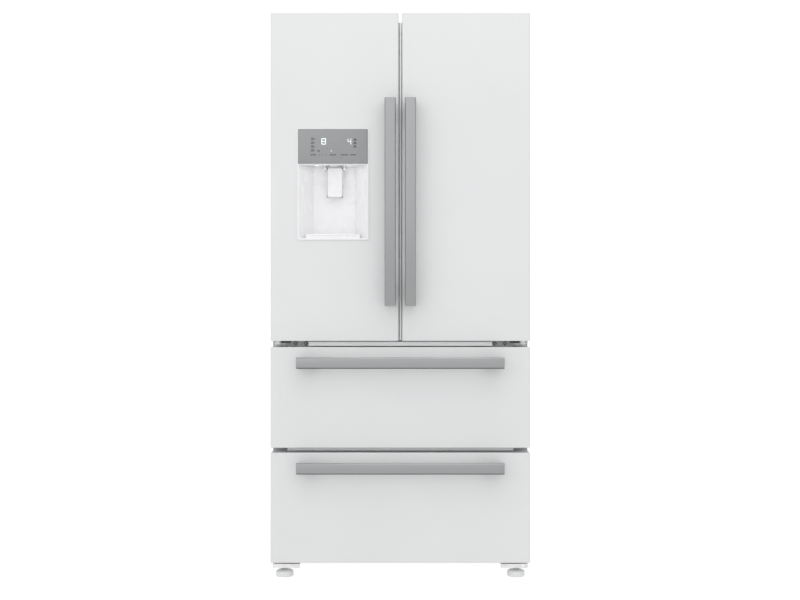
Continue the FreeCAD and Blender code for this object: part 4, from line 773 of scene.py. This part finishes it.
def build_handle(node, name, body, finish, run, post_width, post_shift):
    """A flat bar with chamfered front edges, sunk end caps and two posts. run is the axis along the bar."""
    low, high = corners(node)
    wide = 2 - run
    bar = start_block("bar", low, (high.x, low.y + HANDLE_BAR, high.z))
    runs_along = along(Vector([1.0 if i == run else 0.0 for i in range(3)]))
    round_corners(bar, HANDLE_CHAMFER, lambda edge: runs_along(edge) and middle_of(edge).y < low.y + 1e-4, 1)
    at_back = low.y + HANDLE_BAR / 2
    round_corners(bar, BAR_BACK_ROUND, lambda edge: runs_along(edge) and middle_of(edge).y > at_back, 2)
    for sign in (-1, 1):
        direction = [sign if i == run else 0 for i in range(3)]
        sink_panel(bar, direction, 0.0016, 0.0008)
    soften(bar, 0.0003, 2, 20)
    posts = []
    screws = []
    centre = (low[wide] + high[wide]) / 2 + post_shift
    for end, sign in ((low[run], 1), (high[run], -1)):
        near = end + sign * POST_END_GAP
        far = near + sign * POST_LENGTH
        post_low = Vector((0, low.y + HANDLE_BAR - 0.0005, 0))
        post_high = Vector((0, high.y, 0))
        post_low[run], post_high[run] = sorted((near, far))
        post_low[wide] = centre - post_width / 2
        post_high[wide] = centre + post_width / 2
        posts.append(handle_post(post_low, post_high, run))
        place = (post_low + post_high) / 2
        away = [0, 0, 0]
        away[run] = sign
        place[run] = far
        screws.append(screw("set_screw", place, away, 0.0032))
    piece = join(name, [bar] + posts)
    finish_piece(piece, body, finish, (node,))
    # level bars get a dark strip along their lower front edge: painted shade
    if run == 0:
        build_bar_shade_strip(low, high, name, body, runs_along)
    finish_piece(join(name + "_screws", screws), body, chrome_metal)


build_handle("left_door_handle", "left_handle", "left_door", handle_metal_upright, 2, 0.012, -0.011)
build_handle("right_door_handle", "right_handle", "right_door", handle_metal_upright, 2, 0.012, 0.011)
build_handle("upper_drawer_handle", "upper_handle", "upper_drawer", handle_metal_level, 0, 0.024, 0.0)
build_handle("lower_drawer_handle", "lower_handle", "lower_drawer", handle_metal_level, 0, 0.024, 0.0)


# ---------------------------------------------------------------- seals
GASKET_WIDTH = 0.016


def build_gasket(node, name, body):
    """A magnetic seal: a base, a folded bellows and the soft head with the magnet in it."""
    low, high = corners(node)
    depth = high.y - low.y
    layers = (
        (0.0, GASKET_WIDTH, 0.0, 0.26, 0.0006),
        (0.0048, 0.0064, 0.26, 0.42, 0.0),
        (0.0028, 0.0104, 0.42, 0.52, 0.0008),
        (0.0048, 0.0064, 0.52, 0.66, 0.0),
        (0.0012, 0.0136, 0.66, 1.0, 0.0012),
    )
    rings = []
    for inset, width, start, end, edge in layers:
        ring_low = (low.x + inset, low.y + depth * start, low.z + inset)
        ring_high = (high.x - inset, low.y + depth * end, high.z - inset)
        ring = start_ring("ring", ring_low, ring_high, width)
        rings.append(soften(ring, edge, 3) if edge else ring)
    finish_piece(join(name, rings), body, grey_rubber, (node,))


build_gasket("left_door_gasket", "left_door_seal", "left_door")
build_gasket("right_door_gasket", "right_door_seal", "right_door")
build_gasket("upper_drawer_gasket", "upper_drawer_seal", "upper_drawer")
build_gasket("lower_drawer_gasket", "lower_drawer_seal", "lower_drawer")


def build_edge_profile():
    """A slim profile on the left door's inner edge that closes the sight line between the two doors."""
    low, high = corners("left_door_skin")
    reach = 0.0034  # past the middle of the gap, still clear of the right door's swing
    split = -0.0002
    web_y = face_y + 0.020
    web_thickness = 0.0015
    lip_depth = 0.0185
    web = start_block(
        "left_door_edge_profile",
        (high.x, web_y, low.z + 0.0015), (reach, web_y + web_thickness, high.z - 0.030),
    )
    pick(web, faces_towards((0, -1, 0)))
    bpy.ops.mesh.bisect(plane_co=(split, 0, 0), plane_no=(1, 0, 0))
    close(web)
    pick(web, lambda face: face.normal.y < -0.9 and face.calc_center_median().x > split)
    bpy.ops.mesh.extrude_region_move(TRANSFORM_OT_translate={"value": (0, -lip_depth, 0)})
    close(web)
    soften(web, 0.0004)
    finish_piece(web, "left_door", white_plastic)


build_edge_profile()


# ---------------------------------------------------------------- dispenser
panel_low, panel_high = corners("control_panel")
housing_low, housing_high = corners("dispenser_housing")
niche_x = (panel_low.x + panel_high.x) / 2
FASCIA_EDGE = 0.0034


def build_dispenser_front():
    """The thin moulded surround, the smooth fascia plate inside it, and a dark line round the plate, widest
    at its right side and foot, that is painted shade of the gap between plate and surround.
    """
    proud = 0.0026
    margin = 0.001
    low = (panel_low.x - margin, face_y - proud, housing_low.z - margin)
    high = (panel_high.x + margin, face_y, panel_high.z + margin)
    surround = start_ring("dispenser_surround", low, high, FASCIA_EDGE, "y", 0.0048, 0.0030)
    soften(surround, 0.0005)
    finish_piece(surround, "left_door", white_plastic)
    plate = shaped_block(
        "fascia_plate",
        (panel_low.x + FASCIA_EDGE - 0.0004, panel_low.y - 0.0004, panel_low.z + 0.0012),
        (panel_high.x - FASCIA_EDGE - 0.0008, panel_low.y + 0.0006, panel_high.z - FASCIA_EDGE + 0.0002),
        0.0003, 0.0022, "y",
    )
    finish_piece(plate, "left_door", fascia_plastic)
    # painted shade: dark plastic showing round the fascia plate, mostly along its right side and foot
    shadow_line = shaped_block(
        "fascia_shadow_line",
        (panel_low.x + FASCIA_EDGE - 0.0008, panel_low.y - 0.0001, panel_low.z - 0.0002),
        (panel_high.x - FASCIA_EDGE + 0.0008, panel_low.y + 0.0004, panel_high.z - FASCIA_EDGE + 0.0006),
        0.0001,
    )
    finish_piece(shadow_line, "left_door", dark_plastic)


build_dispenser_front()

MARK_DEPTH = 0.00025
mark_y = panel_low.y - 0.0004


def mark(left, right, bottom, top, corner=0.0):
    """A printed mark, as a thin raised patch on the fascia. Places are from the fascia's middle and foot."""
    low = (niche_x + left, mark_y - MARK_DEPTH, panel_low.z + bottom)
    high = (niche_x + right, mark_y + 0.0002, panel_low.z + top)
    piece = start_block("mark", low, high)
    if corner:
        round_corners(piece, corner, along(AXES["y"]), 3)
    return piece


def ring_mark(left, right, bottom, top, line):
    low = (niche_x + left, mark_y - MARK_DEPTH, panel_low.z + bottom)
    high = (niche_x + right, mark_y + 0.0002, panel_low.z + top)
    corner = min(right - left, top - bottom) * 0.25
    return start_ring("mark", low, high, line, "y", corner, corner * 0.5)


def disc_mark(across, height, radius):
    place = (niche_x + across, mark_y, panel_low.z + height)
    return turned("mark", place, (0, -1, 0), [(MARK_DEPTH, radius), (0.0001, radius * 0.9)], 20)


def seven_segments(digit, left, bottom, width, height):
    """A display digit from its lit bars."""
    lit = {8: "abcdefg", 4: "bcfg"}[digit]
    line = width * 0.19
    gap = line * 0.25
    half = height / 2
    right = left + width
    bars = {
        "a": (left + gap, right - gap, bottom + height - line, bottom + height),
        "b": (right - line, right, bottom + half + gap, bottom + height - gap),
        "c": (right - line, right, bottom + gap, bottom + half - gap),
        "d": (left + gap, right - gap, bottom, bottom + line),
        "e": (left, left + line, bottom + gap, bottom + half - gap),
        "f": (left, left + line, bottom + half + gap, bottom + height - gap),
        "g": (left + gap, right - gap, bottom + half - line / 2, bottom + half + line / 2),
    }
    return [mark(*bars[name], line * 0.4) for name in lit]


def build_display():
    """Two lit digits, two columns of signs and a row of small touch marks on the fascia."""
    digits = seven_segments(8, -0.0370, 0.0615, 0.0150, 0.0205)
    digits += seven_segments(4, 0.0480, 0.0610, 0.0115, 0.0205)
    digits += [disc_mark(-0.005, 0.041, 0.0016)]
    finish_piece(join("display_digits", digits), "left_door", display_light)
    signs = []
    left = -0.0705
    for row in range(4):
        height = 0.0394 + 0.0122 * row
        signs.append(ring_mark(left, left + 0.009, height, height + 0.007, 0.0011))
        if row % 2:
            signs.append(mark(left + 0.0032, left + 0.0058, height + 0.0024, height + 0.0046, 0.0004))
        else:
            signs.append(disc_mark(left + 0.0045, height + 0.0035, 0.0013))
        signs.append(mark(left + 0.0105, left + 0.0135, height + 0.0028, height + 0.0042, 0.0004))
    left = 0.0655
    for row in range(3):
        height = 0.0525 + 0.011 * row
        signs.append(mark(left, left + 0.0125, height, height + 0.0016, 0.0005))
        signs.append(mark(left + 0.003, left + 0.0095, height + 0.0030, height + 0.0062, 0.0010))
    signs.append(mark(-0.049, -0.043, 0.039, 0.043, 0.0010))
    finish_piece(join("display_signs", signs), "left_door", dark_plastic)
    touch = []
    words = ((-0.0715, 0.018), (-0.009, 0.020), (0.026, 0.024), (0.056, 0.020))
    dots = tuple((left, 0.003) for left in (-0.044, -0.034, -0.022))
    for left, width in words[:1] + dots + words[1:]:
        steps = max(1, round(width / 0.006))
        pitch = width / steps
        for i in range(steps):
            start = left + i * pitch
            touch.append(mark(start, start + pitch * 0.72, 0.0268, 0.0297, 0.0004))
    finish_piece(join("touch_marks", touch), "left_door", dark_plastic)


build_display()


def build_paddle():
    """The push plate: a dished face inside a thin dark line that is painted shadow of the gap round the
    plate, a stiffening edge and its two pins.
    """
    low, high = corners("dispenser_paddle")
    pin_reach = 0.006
    plate_low = Vector((low.x + pin_reach, low.y, low.z))
    plate_high = Vector((high.x - pin_reach, high.y, high.z))
    plate = start_block("plate", plate_low, plate_high)
    turns_y = along(AXES["y"])
    middle_z = (low.z + high.z) / 2
    round_corners(plate, 0.009, lambda edge: turns_y(edge) and middle_of(edge).z < middle_z, 6)
    round_corners(plate, 0.006, lambda edge: turns_y(edge) and middle_of(edge).z > middle_z, 5)
    sink_panel(plate, (0, -1, 0), 0.0042, 0.0011)
    soften(plate, 0.0005)
    pin_radius = 0.0025
    pin_start = (low.x, (low.y + high.y) / 2, high.z - 0.003)
    pins = turned("pins", pin_start, (1, 0, 0), [(high.x - low.x, pin_radius)], 24)
    rib = shaped_block(
        "rib",
        (plate_high.x - 0.0105, low.y + 0.0002, low.z + 0.012),
        (plate_high.x - 0.0088, low.y + 0.0016, high.z - 0.010),
        0.0004,
    )
    piece = join("push_plate", [plate, pins, rib])
    finish_piece(piece, "dispenser_paddle", niche_plastic, ("dispenser_paddle",))
    # painted shadow: a grey ring on the plate's face where the gap round the plate would shade it
    inset = 0.0012
    line = start_ring(
        "push_plate_shadow_line",
        (plate_low.x + inset, low.y - 0.0002, low.z + inset),
        (plate_high.x - inset, low.y + 0.0004, high.z - inset),
        0.0016, "y", 0.0075, 0.006,
    )
    finish_piece(soften(line, 0.0002), "dispenser_paddle", fascia_plastic)


build_paddle()


def build_niche_fittings():
    """The nozzle's collar, the niche lamp, and the drip tray's front lip."""
    tap_low, tap_high = corners("water_tap")
    radius = (tap_high.x - tap_low.x) / 2
    ceiling = housing_high.z - 0.0025
    flange = [(0.0010, radius * 1.75), (0.0008, radius * 1.6)]
    neck = [(0.0, radius * 1.3), (0.0014, radius * 1.22), (0.0, radius * 0.95), (-0.0014, radius * 0.92)]
    collar_place = ((tap_low.x + tap_high.x) / 2, tap_low.y + radius, ceiling)
    collar = turned("nozzle_collar", collar_place, (0, 0, -1), flange + neck, 40)
    finish_piece(collar, "left_door", niche_plastic)
    bezel_steps = [(0.0008, 0.0095), (0.0006, 0.0085), (0.0, 0.0070), (-0.0008, 0.0068)]
    lens_steps = [(0.0008, 0.0066), (0.0002, 0.0040)]
    lamp_shift = 0.052
    lamp_depth = 0.020
    for number, side in enumerate((-1, 1)):
        place = (niche_x + side * lamp_shift, face_y + lamp_depth, ceiling)
        bezel = turned("niche_lamp_bezel_%d" % number, place, (0, 0, -1), bezel_steps, 32)
        finish_piece(bezel, "left_door", white_plastic)
        lens = turned("niche_lamp_lens_%d" % number, place, (0, 0, -1), lens_steps, 32)
        finish_piece(lens, "left_door", niche_light)
    low, high = corners("drip_tray")
    end = 0.012
    lip = shaped_block(
        "drip_tray_lip",
        (low.x + end, low.y - 0.0022, high.z - 0.0048),
        (high.x - end, low.y + 0.0010, high.z + 0.0006),
        0.0010, 0.0, "x", 3,
    )
    finish_piece(lip, "drip_tray", niche_plastic)


build_niche_fittings()


# ---------------------------------------------------------------- hinges, feet and base
middle_gap_low = corners("upper_drawer_skin")[1].z
middle_gap_z = (middle_gap_low + doors_low.z) / 2
HINGE_PLATE = 0.003


def build_hinge_details():
    """Bolts of the middle hinges, the closing cams under the doors, and the cover screws."""
    bolt_inset = 0.054  # hinge pin to the nearer bolt
    bolt_pitch = 0.034
    first = hex_bolt("bolt", (pin_x - bolt_inset, front_y - HINGE_PLATE, middle_gap_z), (0, -1, 0))
    second = copy_of(first, "bolt_copy", (-bolt_pitch, 0, 0))
    bolts = both_sides(join("bolts", [first, second]), "middle_hinge_bolts")
    finish_piece(bolts, "cabinet", dark_metal)
    cam_half = 0.009
    cam_drop = 0.0062
    cam_low = (pin_x - 0.041, pin_y - cam_half, doors_low.z - cam_drop)
    cam = start_block("cam", cam_low, (pin_x - 0.012, pin_y + cam_half, doors_low.z))
    round_corners(cam, 0.004, along(AXES["z"]))
    pick(cam, faces_towards((0, 0, -1)))
    bpy.ops.mesh.inset(thickness=0.002, depth=0.0008)
    close(cam)
    smooth(cam)
    twin = copy_of(cam, "right_closing_cam")
    left = copy_of(cam, "left_closing_cam", mirror_x=True)
    bpy.data.objects.remove(cam)
    finish_piece(left, "left_door", dark_plastic)
    finish_piece(twin, "right_door", dark_plastic)
    cover_low, cover_high = solid_boxes("hinge_covers")[-1]
    x = (cover_low.x + cover_high.x) / 2
    head = screw("screw", (x, cover_high.y - 0.020, cover_high.z - 0.0012), (0, 0, 1), 0.0045)
    finish_piece(both_sides(head, "hinge_cover_screws"), "cabinet", dark_metal)


build_hinge_details()


def build_foot(side, name):
    """A levelling foot: ribbed sole, spanner flats, locking nut and threaded stem."""
    low, high = corners(name)
    x = (low.x + high.x) / 2
    y = (low.y + high.y) / 2
    radius = (high.x - low.x) / 2

    def upright(part, height, steps, sides):
        """A part turned about the foot's own axis; its steps are heights and shares of the radius."""
        scaled = [(rise, radius * share) for rise, share in steps]
        return turned(part, (x, y, low.z + height), (0, 0, 1), scaled, sides)

    lower_edge = [(0.0015, 0.93), (0.0015, 1.0), (0.0050, 1.0)]
    groove = [(0.0006, 0.965), (0.0012, 0.965), (0.0006, 1.0)]
    upper_edge = [(0.0050, 1.0), (0.0022, 0.95), (0.0010, 0.86), (0.0, 0.5), (0.0020, 0.46)]
    sole = upright(side + "_foot_sole", 0.0, lower_edge + groove + upper_edge, 64)
    flats_height = 0.0206
    neck_height = 0.0276
    stem_height = 0.0340
    flats = upright("flats", flats_height, [(0.0014, 0.40), (0.0056, 0.44)], 6)
    neck = upright("neck", neck_height, [(0.0008, 0.40), (0.0060, 0.34)], 32)
    pitch = 0.0015
    crest = 0.175
    turn = [(pitch / 2, 0.150), (pitch / 2, crest)]
    turns = int((high.z - low.z - stem_height - 0.002) / pitch)
    stem = upright("stem", stem_height, [(0.0006, crest)] + turn * turns, 24)
    finish_piece(sole, name, foot_plastic, (name,))
    piece = join(side + "_foot_screw", [flats, neck, stem])
    finish_piece(smooth(piece, 40), name, chrome_metal)


build_foot("left", "left_foot")
build_foot("right", "right_foot")


# ---------------------------------------------------------------- back of the cabinet
PANEL_INSET = 0.004
panel_y = cabinet_high.y - PANEL_INSET
RIB_HEIGHT = 0.0020
RIB_COUNT = 7
SCREW_INSET = 0.012  # cabinet's edge to the back panel's screws
BACK_SCREW = 0.0046


def build_back_panel():
    """Pressed ribs and the row of screws that hold the back panel and the machine cover."""
    cover_low, cover_high = max(solid_boxes("machine_cover"), key=lambda box: box[1].x - box[0].x)
    margin = 0.10
    top = cabinet_high.z - margin
    bottom = cover_high.z + margin
    half = cabinet_high.x - 0.09
    half_height = 0.011
    rib_low = (-half, panel_y, bottom - half_height)
    rib = start_block("rib", rib_low, (half, panel_y + 0.0002, bottom + half_height))
    round_corners(rib, half_height - 0.0005, along(AXES["y"]), 8)
    pick(rib, faces_towards((0, 1, 0)))
    bpy.ops.mesh.extrude_region_move(TRANSFORM_OT_translate={"value": (0, RIB_HEIGHT, 0)})
    bpy.ops.mesh.inset(thickness=0.004, depth=0.0006)
    close(rib)
    smooth(rib, 50)
    pitch = (top - bottom) / (RIB_COUNT - 1)
    ribs = repeated("back_panel_ribs", rib, [(0, 0, pitch * i) for i in range(1, RIB_COUNT)])
    finish_piece(ribs, "cabinet", cabinet_enamel)

    def screw_line(name, x, z, steps, pitch_x, pitch_z):
        head = screw("screw", (x, panel_y, z), (0, 1, 0), BACK_SCREW)
        return repeated(name, head, [(pitch_x * i, 0, pitch_z * i) for i in range(1, steps + 1)])

    end = 0.04
    side_pitch = (cabinet_high.z - cover_high.z - 2 * end) / 7
    cover_pitch = (cover_high.z - cover_low.z - 0.085) / 2
    line = screw_line("line", cabinet_high.x - SCREW_INSET, cover_high.z + end, 7, 0, side_pitch)
    top_line = screw_line("top_line", -0.24, cabinet_high.z - SCREW_INSET, 3, 0.16, 0)
    cover_line = screw_line("cover_line", cover_high.x - SCREW_INSET, cover_low.z + 0.060, 2, 0, cover_pitch)
    side_line = both_sides(join("side_lines", [line, cover_line]), "sides")
    finish_piece(join("back_screws", [side_line, top_line]), "cabinet", dark_metal)
    bead = start_ring(
        "machine_cover_bead", (cover_low.x + 0.018, panel_y - 0.0005, cover_low.z + 0.022),
        (cover_high.x - 0.018, panel_y + 0.0022, cover_high.z - 0.014), 0.006, "y", 0.010, 0.005,
    )
    finish_piece(soften(bead, 0.0009, 3), "cabinet", grille_plastic)


build_back_panel()


# ---------------------------------------------------------------- fridge space
liner_low, liner_high = corners("fridge_liner")
LINER = 0.002
ceiling_z = liner_high.z - LINER
floor_z = liner_low.z + LINER
cavity_half = liner_high.x - LINER
cavity_back = liner_high.y - LINER
DUCT_DEPTH = 0.026


def build_ceiling_lamp():
    low = (-0.14, front_y + 0.115, ceiling_z - 0.010)
    high = (0.14, front_y + 0.185, ceiling_z)
    frame_piece = start_ring("ceiling_lamp_frame", low, high, 0.008, "z", 0.016, 0.009)
    finish_piece(soften(frame_piece, 0.0016, 3), "cabinet", white_plastic)
    border = 0.0075
    lens = start_block(
        "ceiling_lamp_lens",
        (low[0] + border, low[1] + border, low[2] + 0.002), (high[0] - border, high[1] - border, high[2]),
    )
    round_corners(lens, 0.009, along(AXES["z"]))
    pick(lens, faces_towards((0, 0, -1)))
    bpy.ops.mesh.inset(thickness=0.006, depth=0.0015)
    close(lens)
    smooth(lens)
    finish_piece(lens, "cabinet", lamp_light)
    thickness = 0.0045
    for left, name in ((-cavity_half, "left"), (cavity_half - thickness, "right")):
        low = (left, front_y + 0.050, floor_z + 0.30)
        high = (left + thickness, front_y + 0.066, ceiling_z - 0.12)
        strip = shaped_block(name + "_side_lamp", low, high, 0.0014, 0.0, "z", 3)
        finish_piece(strip, "cabinet", lamp_light)


build_ceiling_lamp()


def build_shelf_details():
    """Metal noses on the shelves, and the grips and humidity slides of the crispers."""
    end = 0.006
    lap = 0.001
    strips = [
        shaped_block(
            "strip",
            (low.x + end, low.y - 0.0135, low.z - lap), (high.x - end, low.y - 0.0118, high.z + lap), 0.0006,
        )
        for low, high in solid_boxes("glass_shelves")
    ]
    finish_piece(join("shelf_nose_strips", strips), "cabinet", handle_metal_level)
    low, high = solid_boxes("crispers")[-1]
    front = low.y
    slide_z = high.z - 0.040

    def on_front(left, right, near, far, half_height):
        """Opposite corners of a block on the crisper's front, level with the humidity slide."""
        return (left, front + near, slide_z - half_height), (right, front + far, slide_z + half_height)

    band = shaped_block(
        "band", *on_front(low.x + 0.010, high.x - 0.010, 0.0102, 0.0125, 0.010), 0.0009, 0.004, "y"
    )
    groove = start_ring(
        "groove", *on_front(low.x + 0.11, high.x - 0.11, 0.0088, 0.0104, 0.007), 0.0016, "y", 0.004, 0.003
    )
    knob_x = low.x + 0.150
    knob = shaped_block(
        "knob", *on_front(knob_x, knob_x + 0.022, 0.0062, 0.0105, 0.0055), 0.0010, 0.0030, "y", 3
    )
    grips = []
    for i in range(5):
        grip_x = knob_x + 0.003 + 0.004 * i
        grips.append(shaped_block("grip", *on_front(grip_x, grip_x + 0.0015, 0.0055, 0.0066, 0.004), 0.0003))
    finish_piece(both_sides(band, "crisper_bands"), "cabinet", white_plastic)
    slides = both_sides(join("slides", [groove, knob] + grips), "humidity_slides")
    finish_piece(slides, "cabinet", fascia_plastic)


build_shelf_details()


def build_duct_louvres():
    """Small hoods over the outlets of the air channel."""
    bottom = floor_z + 0.020
    top = ceiling_z - 0.024
    pitch = (top - bottom) / 6
    y = cavity_back - DUCT_DEPTH
    depth = 0.006
    foot = bottom + pitch + 0.0048
    head = foot + 0.005
    hood = start_block("hood", (-0.062, y - depth, foot), (-0.018, y, head))
    round_corners(
        hood, 0.0042, lambda edge: middle_of(edge).y < y - 0.8 * depth and middle_of(edge).z > head - 0.001, 4
    )
    soften(hood, 0.0005)
    shifts = [(0.08 * column, 0, pitch * row) for row in range(5) for column in range(2)][1:]
    finish_piece(repeated("duct_louvres", hood, shifts), "cabinet", white_plastic)


build_duct_louvres()


def build_bin_bands():
    """A bright band along the front of every door bin."""
    end = 0.014
    for door in ("left_door", "right_door"):
        bands = [
            shaped_block(
                "band",
                (low.x + end, high.y - 0.0006, low.z + 0.052), (high.x - end, high.y + 0.0012, low.z + 0.058),
                0.0006,
            )
            for low, high in solid_boxes(door + "_bins")
        ]
        finish_piece(join(door + "_bin_bands", bands), door, handle_metal_level)


build_bin_bands()


# ---------------------------------------------------------------- mullion
def build_mullion_details():
    """The steel strip on the beam's face and its end caps."""
    beam_low, beam_high = corners("mullion_beam")
    half = min(beam_high.x, 0.034)
    strip_border = 0.009
    strip_end = 0.0245
    strip = shaped_block(
        "mullion_strip", (-half + strip_border, beam_low.y - 0.0003, beam_low.z + strip_end),
        (half - strip_border, beam_low.y + 0.0006, beam_high.z - strip_end), 0.0002, 0.003, "y",
    )
    finish_piece(strip, "mullion", beam_enamel)
    cap_end = 0.009
    cap_height = 0.010
    proud = 0.0004
    caps = []
    for z in (beam_low.z + cap_end, beam_high.z - cap_end - cap_height):
        cap_low = (-half - proud, beam_low.y + 0.0002, z)
        cap_high = (half + proud, beam_high.y + proud, z + cap_height)
        caps.append(soften(start_ring("cap", cap_low, cap_high, 0.004, "z", 0.004, 0.002), 0.0005))
    finish_piece(join("mullion_end_caps", caps), "mullion", cap_plastic)


build_mullion_details()


# ---------------------------------------------------------------- freezer drawers
def build_basket_details(node, name, body):
    """Floor ribs, and upright ribs on the front and back walls inside a freezer basket."""
    low, high = corners(node)
    wall = 0.0025
    side = 0.022
    x0 = low.x + side
    x1 = high.x - side
    y0 = low.y + 0.020
    y1 = high.y - 0.020
    count = 9
    pitch = (x1 - x0) / (count - 1)
    floor = low.z + wall
    rib = shaped_block("rib", (x0 - 0.002, y0, floor - 0.0004), (x0 + 0.002, y1, floor + 0.003), 0.0012)
    ribs = repeated("ribs", rib, [(pitch * i, 0, 0) for i in range(1, count)])
    front = low.y + wall
    upright = shaped_block(
        "upright", (x0, front + 0.0008, low.z + 0.030), (x0 + 0.004, front + 0.0030, high.z - 0.020), 0.0009
    )
    uprights = repeated("uprights", upright, [(pitch * i, 0, 0) for i in range(1, count)])
    back_row = copy_of(uprights, "back_row", (0, high.y - low.y - 2 * wall - 0.0038, 0))
    piece = join(name, [ribs, uprights, back_row])
    finish_piece(piece, body, liner_plastic)


build_basket_details("upper_basket", "upper_basket_ribs", "upper_drawer")
build_basket_details("lower_basket", "lower_basket_ribs", "lower_drawer")


# ---------------------------------------------------------------- floor, light and camera
FLOOR_LIGHTING = 0.46
FLOOR_SEEN = 0.80


def build_floor():
    clear_selection()
    bpy.ops.mesh.primitive_plane_add(size=1, location=(0, 4.0, 0))
    floor = named("floor")
    floor.scale = (40, 40, 1)
    settle(floor)
    finish, tree, surface, place = start_finish("pale floor")
    tone = blend_colours(tree, clouds(tree, place, 2.0, 3.0), (0.38, 0.38, 0.38), (0.40, 0.40, 0.40))
    tree.links.new(tone, surface.inputs["Base Color"])
    surface.inputs["Emission Color"].default_value = (1, 1, 1, 1)
    tree.links.new(seen_or_lighting(tree, FLOOR_LIGHTING, FLOOR_SEEN), surface.inputs["Emission Strength"])
    surface.inputs["Roughness"].default_value = 0.6
    surface.inputs["Specular IOR Level"].default_value = 0.2
    floor.data.materials.append(finish)


SKY_LEVEL = 0.64
SKY_FRONT = 0.43
SKY_TOP = 0.06
BACKDROP_LEVEL = 1.2


def build_sky():
    """White all round to the eye. To the object it is brighter in front and overhead than at the sides."""
    world = bpy.data.worlds.new("studio")
    bpy.context.scene.world = world
    world.use_nodes = True
    tree = world.node_tree
    background = tree.nodes["Background"]
    direction = add(tree, "ShaderNodeSeparateXYZ")
    tree.links.new(add(tree, "ShaderNodeTexCoord").outputs["Generated"], direction.inputs["Vector"])
    front = spread(tree, direction.outputs["Y"], 0.0, -1.0, SKY_LEVEL, SKY_LEVEL + SKY_FRONT)
    above = spread(tree, direction.outputs["Z"], 0.0, 1.0, 0.0, SKY_TOP)
    level = math_node(tree, "ADD", front, above)
    strength = add(tree, "ShaderNodeMix", data_type="FLOAT")
    tree.links.new(add(tree, "ShaderNodeLightPath").outputs["Is Camera Ray"], strength.inputs["Factor"])
    tree.links.new(level, strength.inputs[2])
    strength.inputs[3].default_value = BACKDROP_LEVEL
    background.inputs["Color"].default_value = (1, 1, 1, 1)
    tree.links.new(strength.outputs[0], background.inputs["Strength"])


def soft_light(name, place, target, width, height, power):
    clear_selection()
    lamp = bpy.data.lights.new(name, "AREA")
    lamp.shape = "RECTANGLE"
    lamp.size = width
    lamp.size_y = height
    lamp.energy = power
    holder = bpy.data.objects.new(name, lamp)
    holder.location = place
    aim = Vector(target) - Vector(place)
    holder.rotation_mode = "QUATERNION"
    holder.rotation_quaternion = aim.to_track_quat("-Z", "Y")
    bpy.context.scene.collection.objects.link(holder)


CAMERA_LENS = 55.7
CAMERA_X = -0.001
CAMERA_DISTANCE = 4.0
CAMERA_HEIGHT = 0.902


def build_camera():
    lens = bpy.data.cameras.new("camera")
    lens.sensor_width = 36.0
    lens.lens = CAMERA_LENS
    holder = bpy.data.objects.new("camera", lens)
    holder.location = (CAMERA_X, face_y - CAMERA_DISTANCE, CAMERA_HEIGHT)
    holder.rotation_euler = (math.pi / 2, 0, 0)
    bpy.context.scene.collection.objects.link(holder)
    bpy.context.scene.camera = holder


build_floor()
build_sky()
soft_light("overhead softbox", (0.3, -1.6, 4.2), (0, 0, 0.6), 3.4, 2.6, 24)
soft_light("front softbox", (-3.2, -4.2, 2.4), (0, 0, 1.0), 2.4, 2.4, 12)
build_camera()
bpy.context.scene.view_settings.view_transform = "Standard"
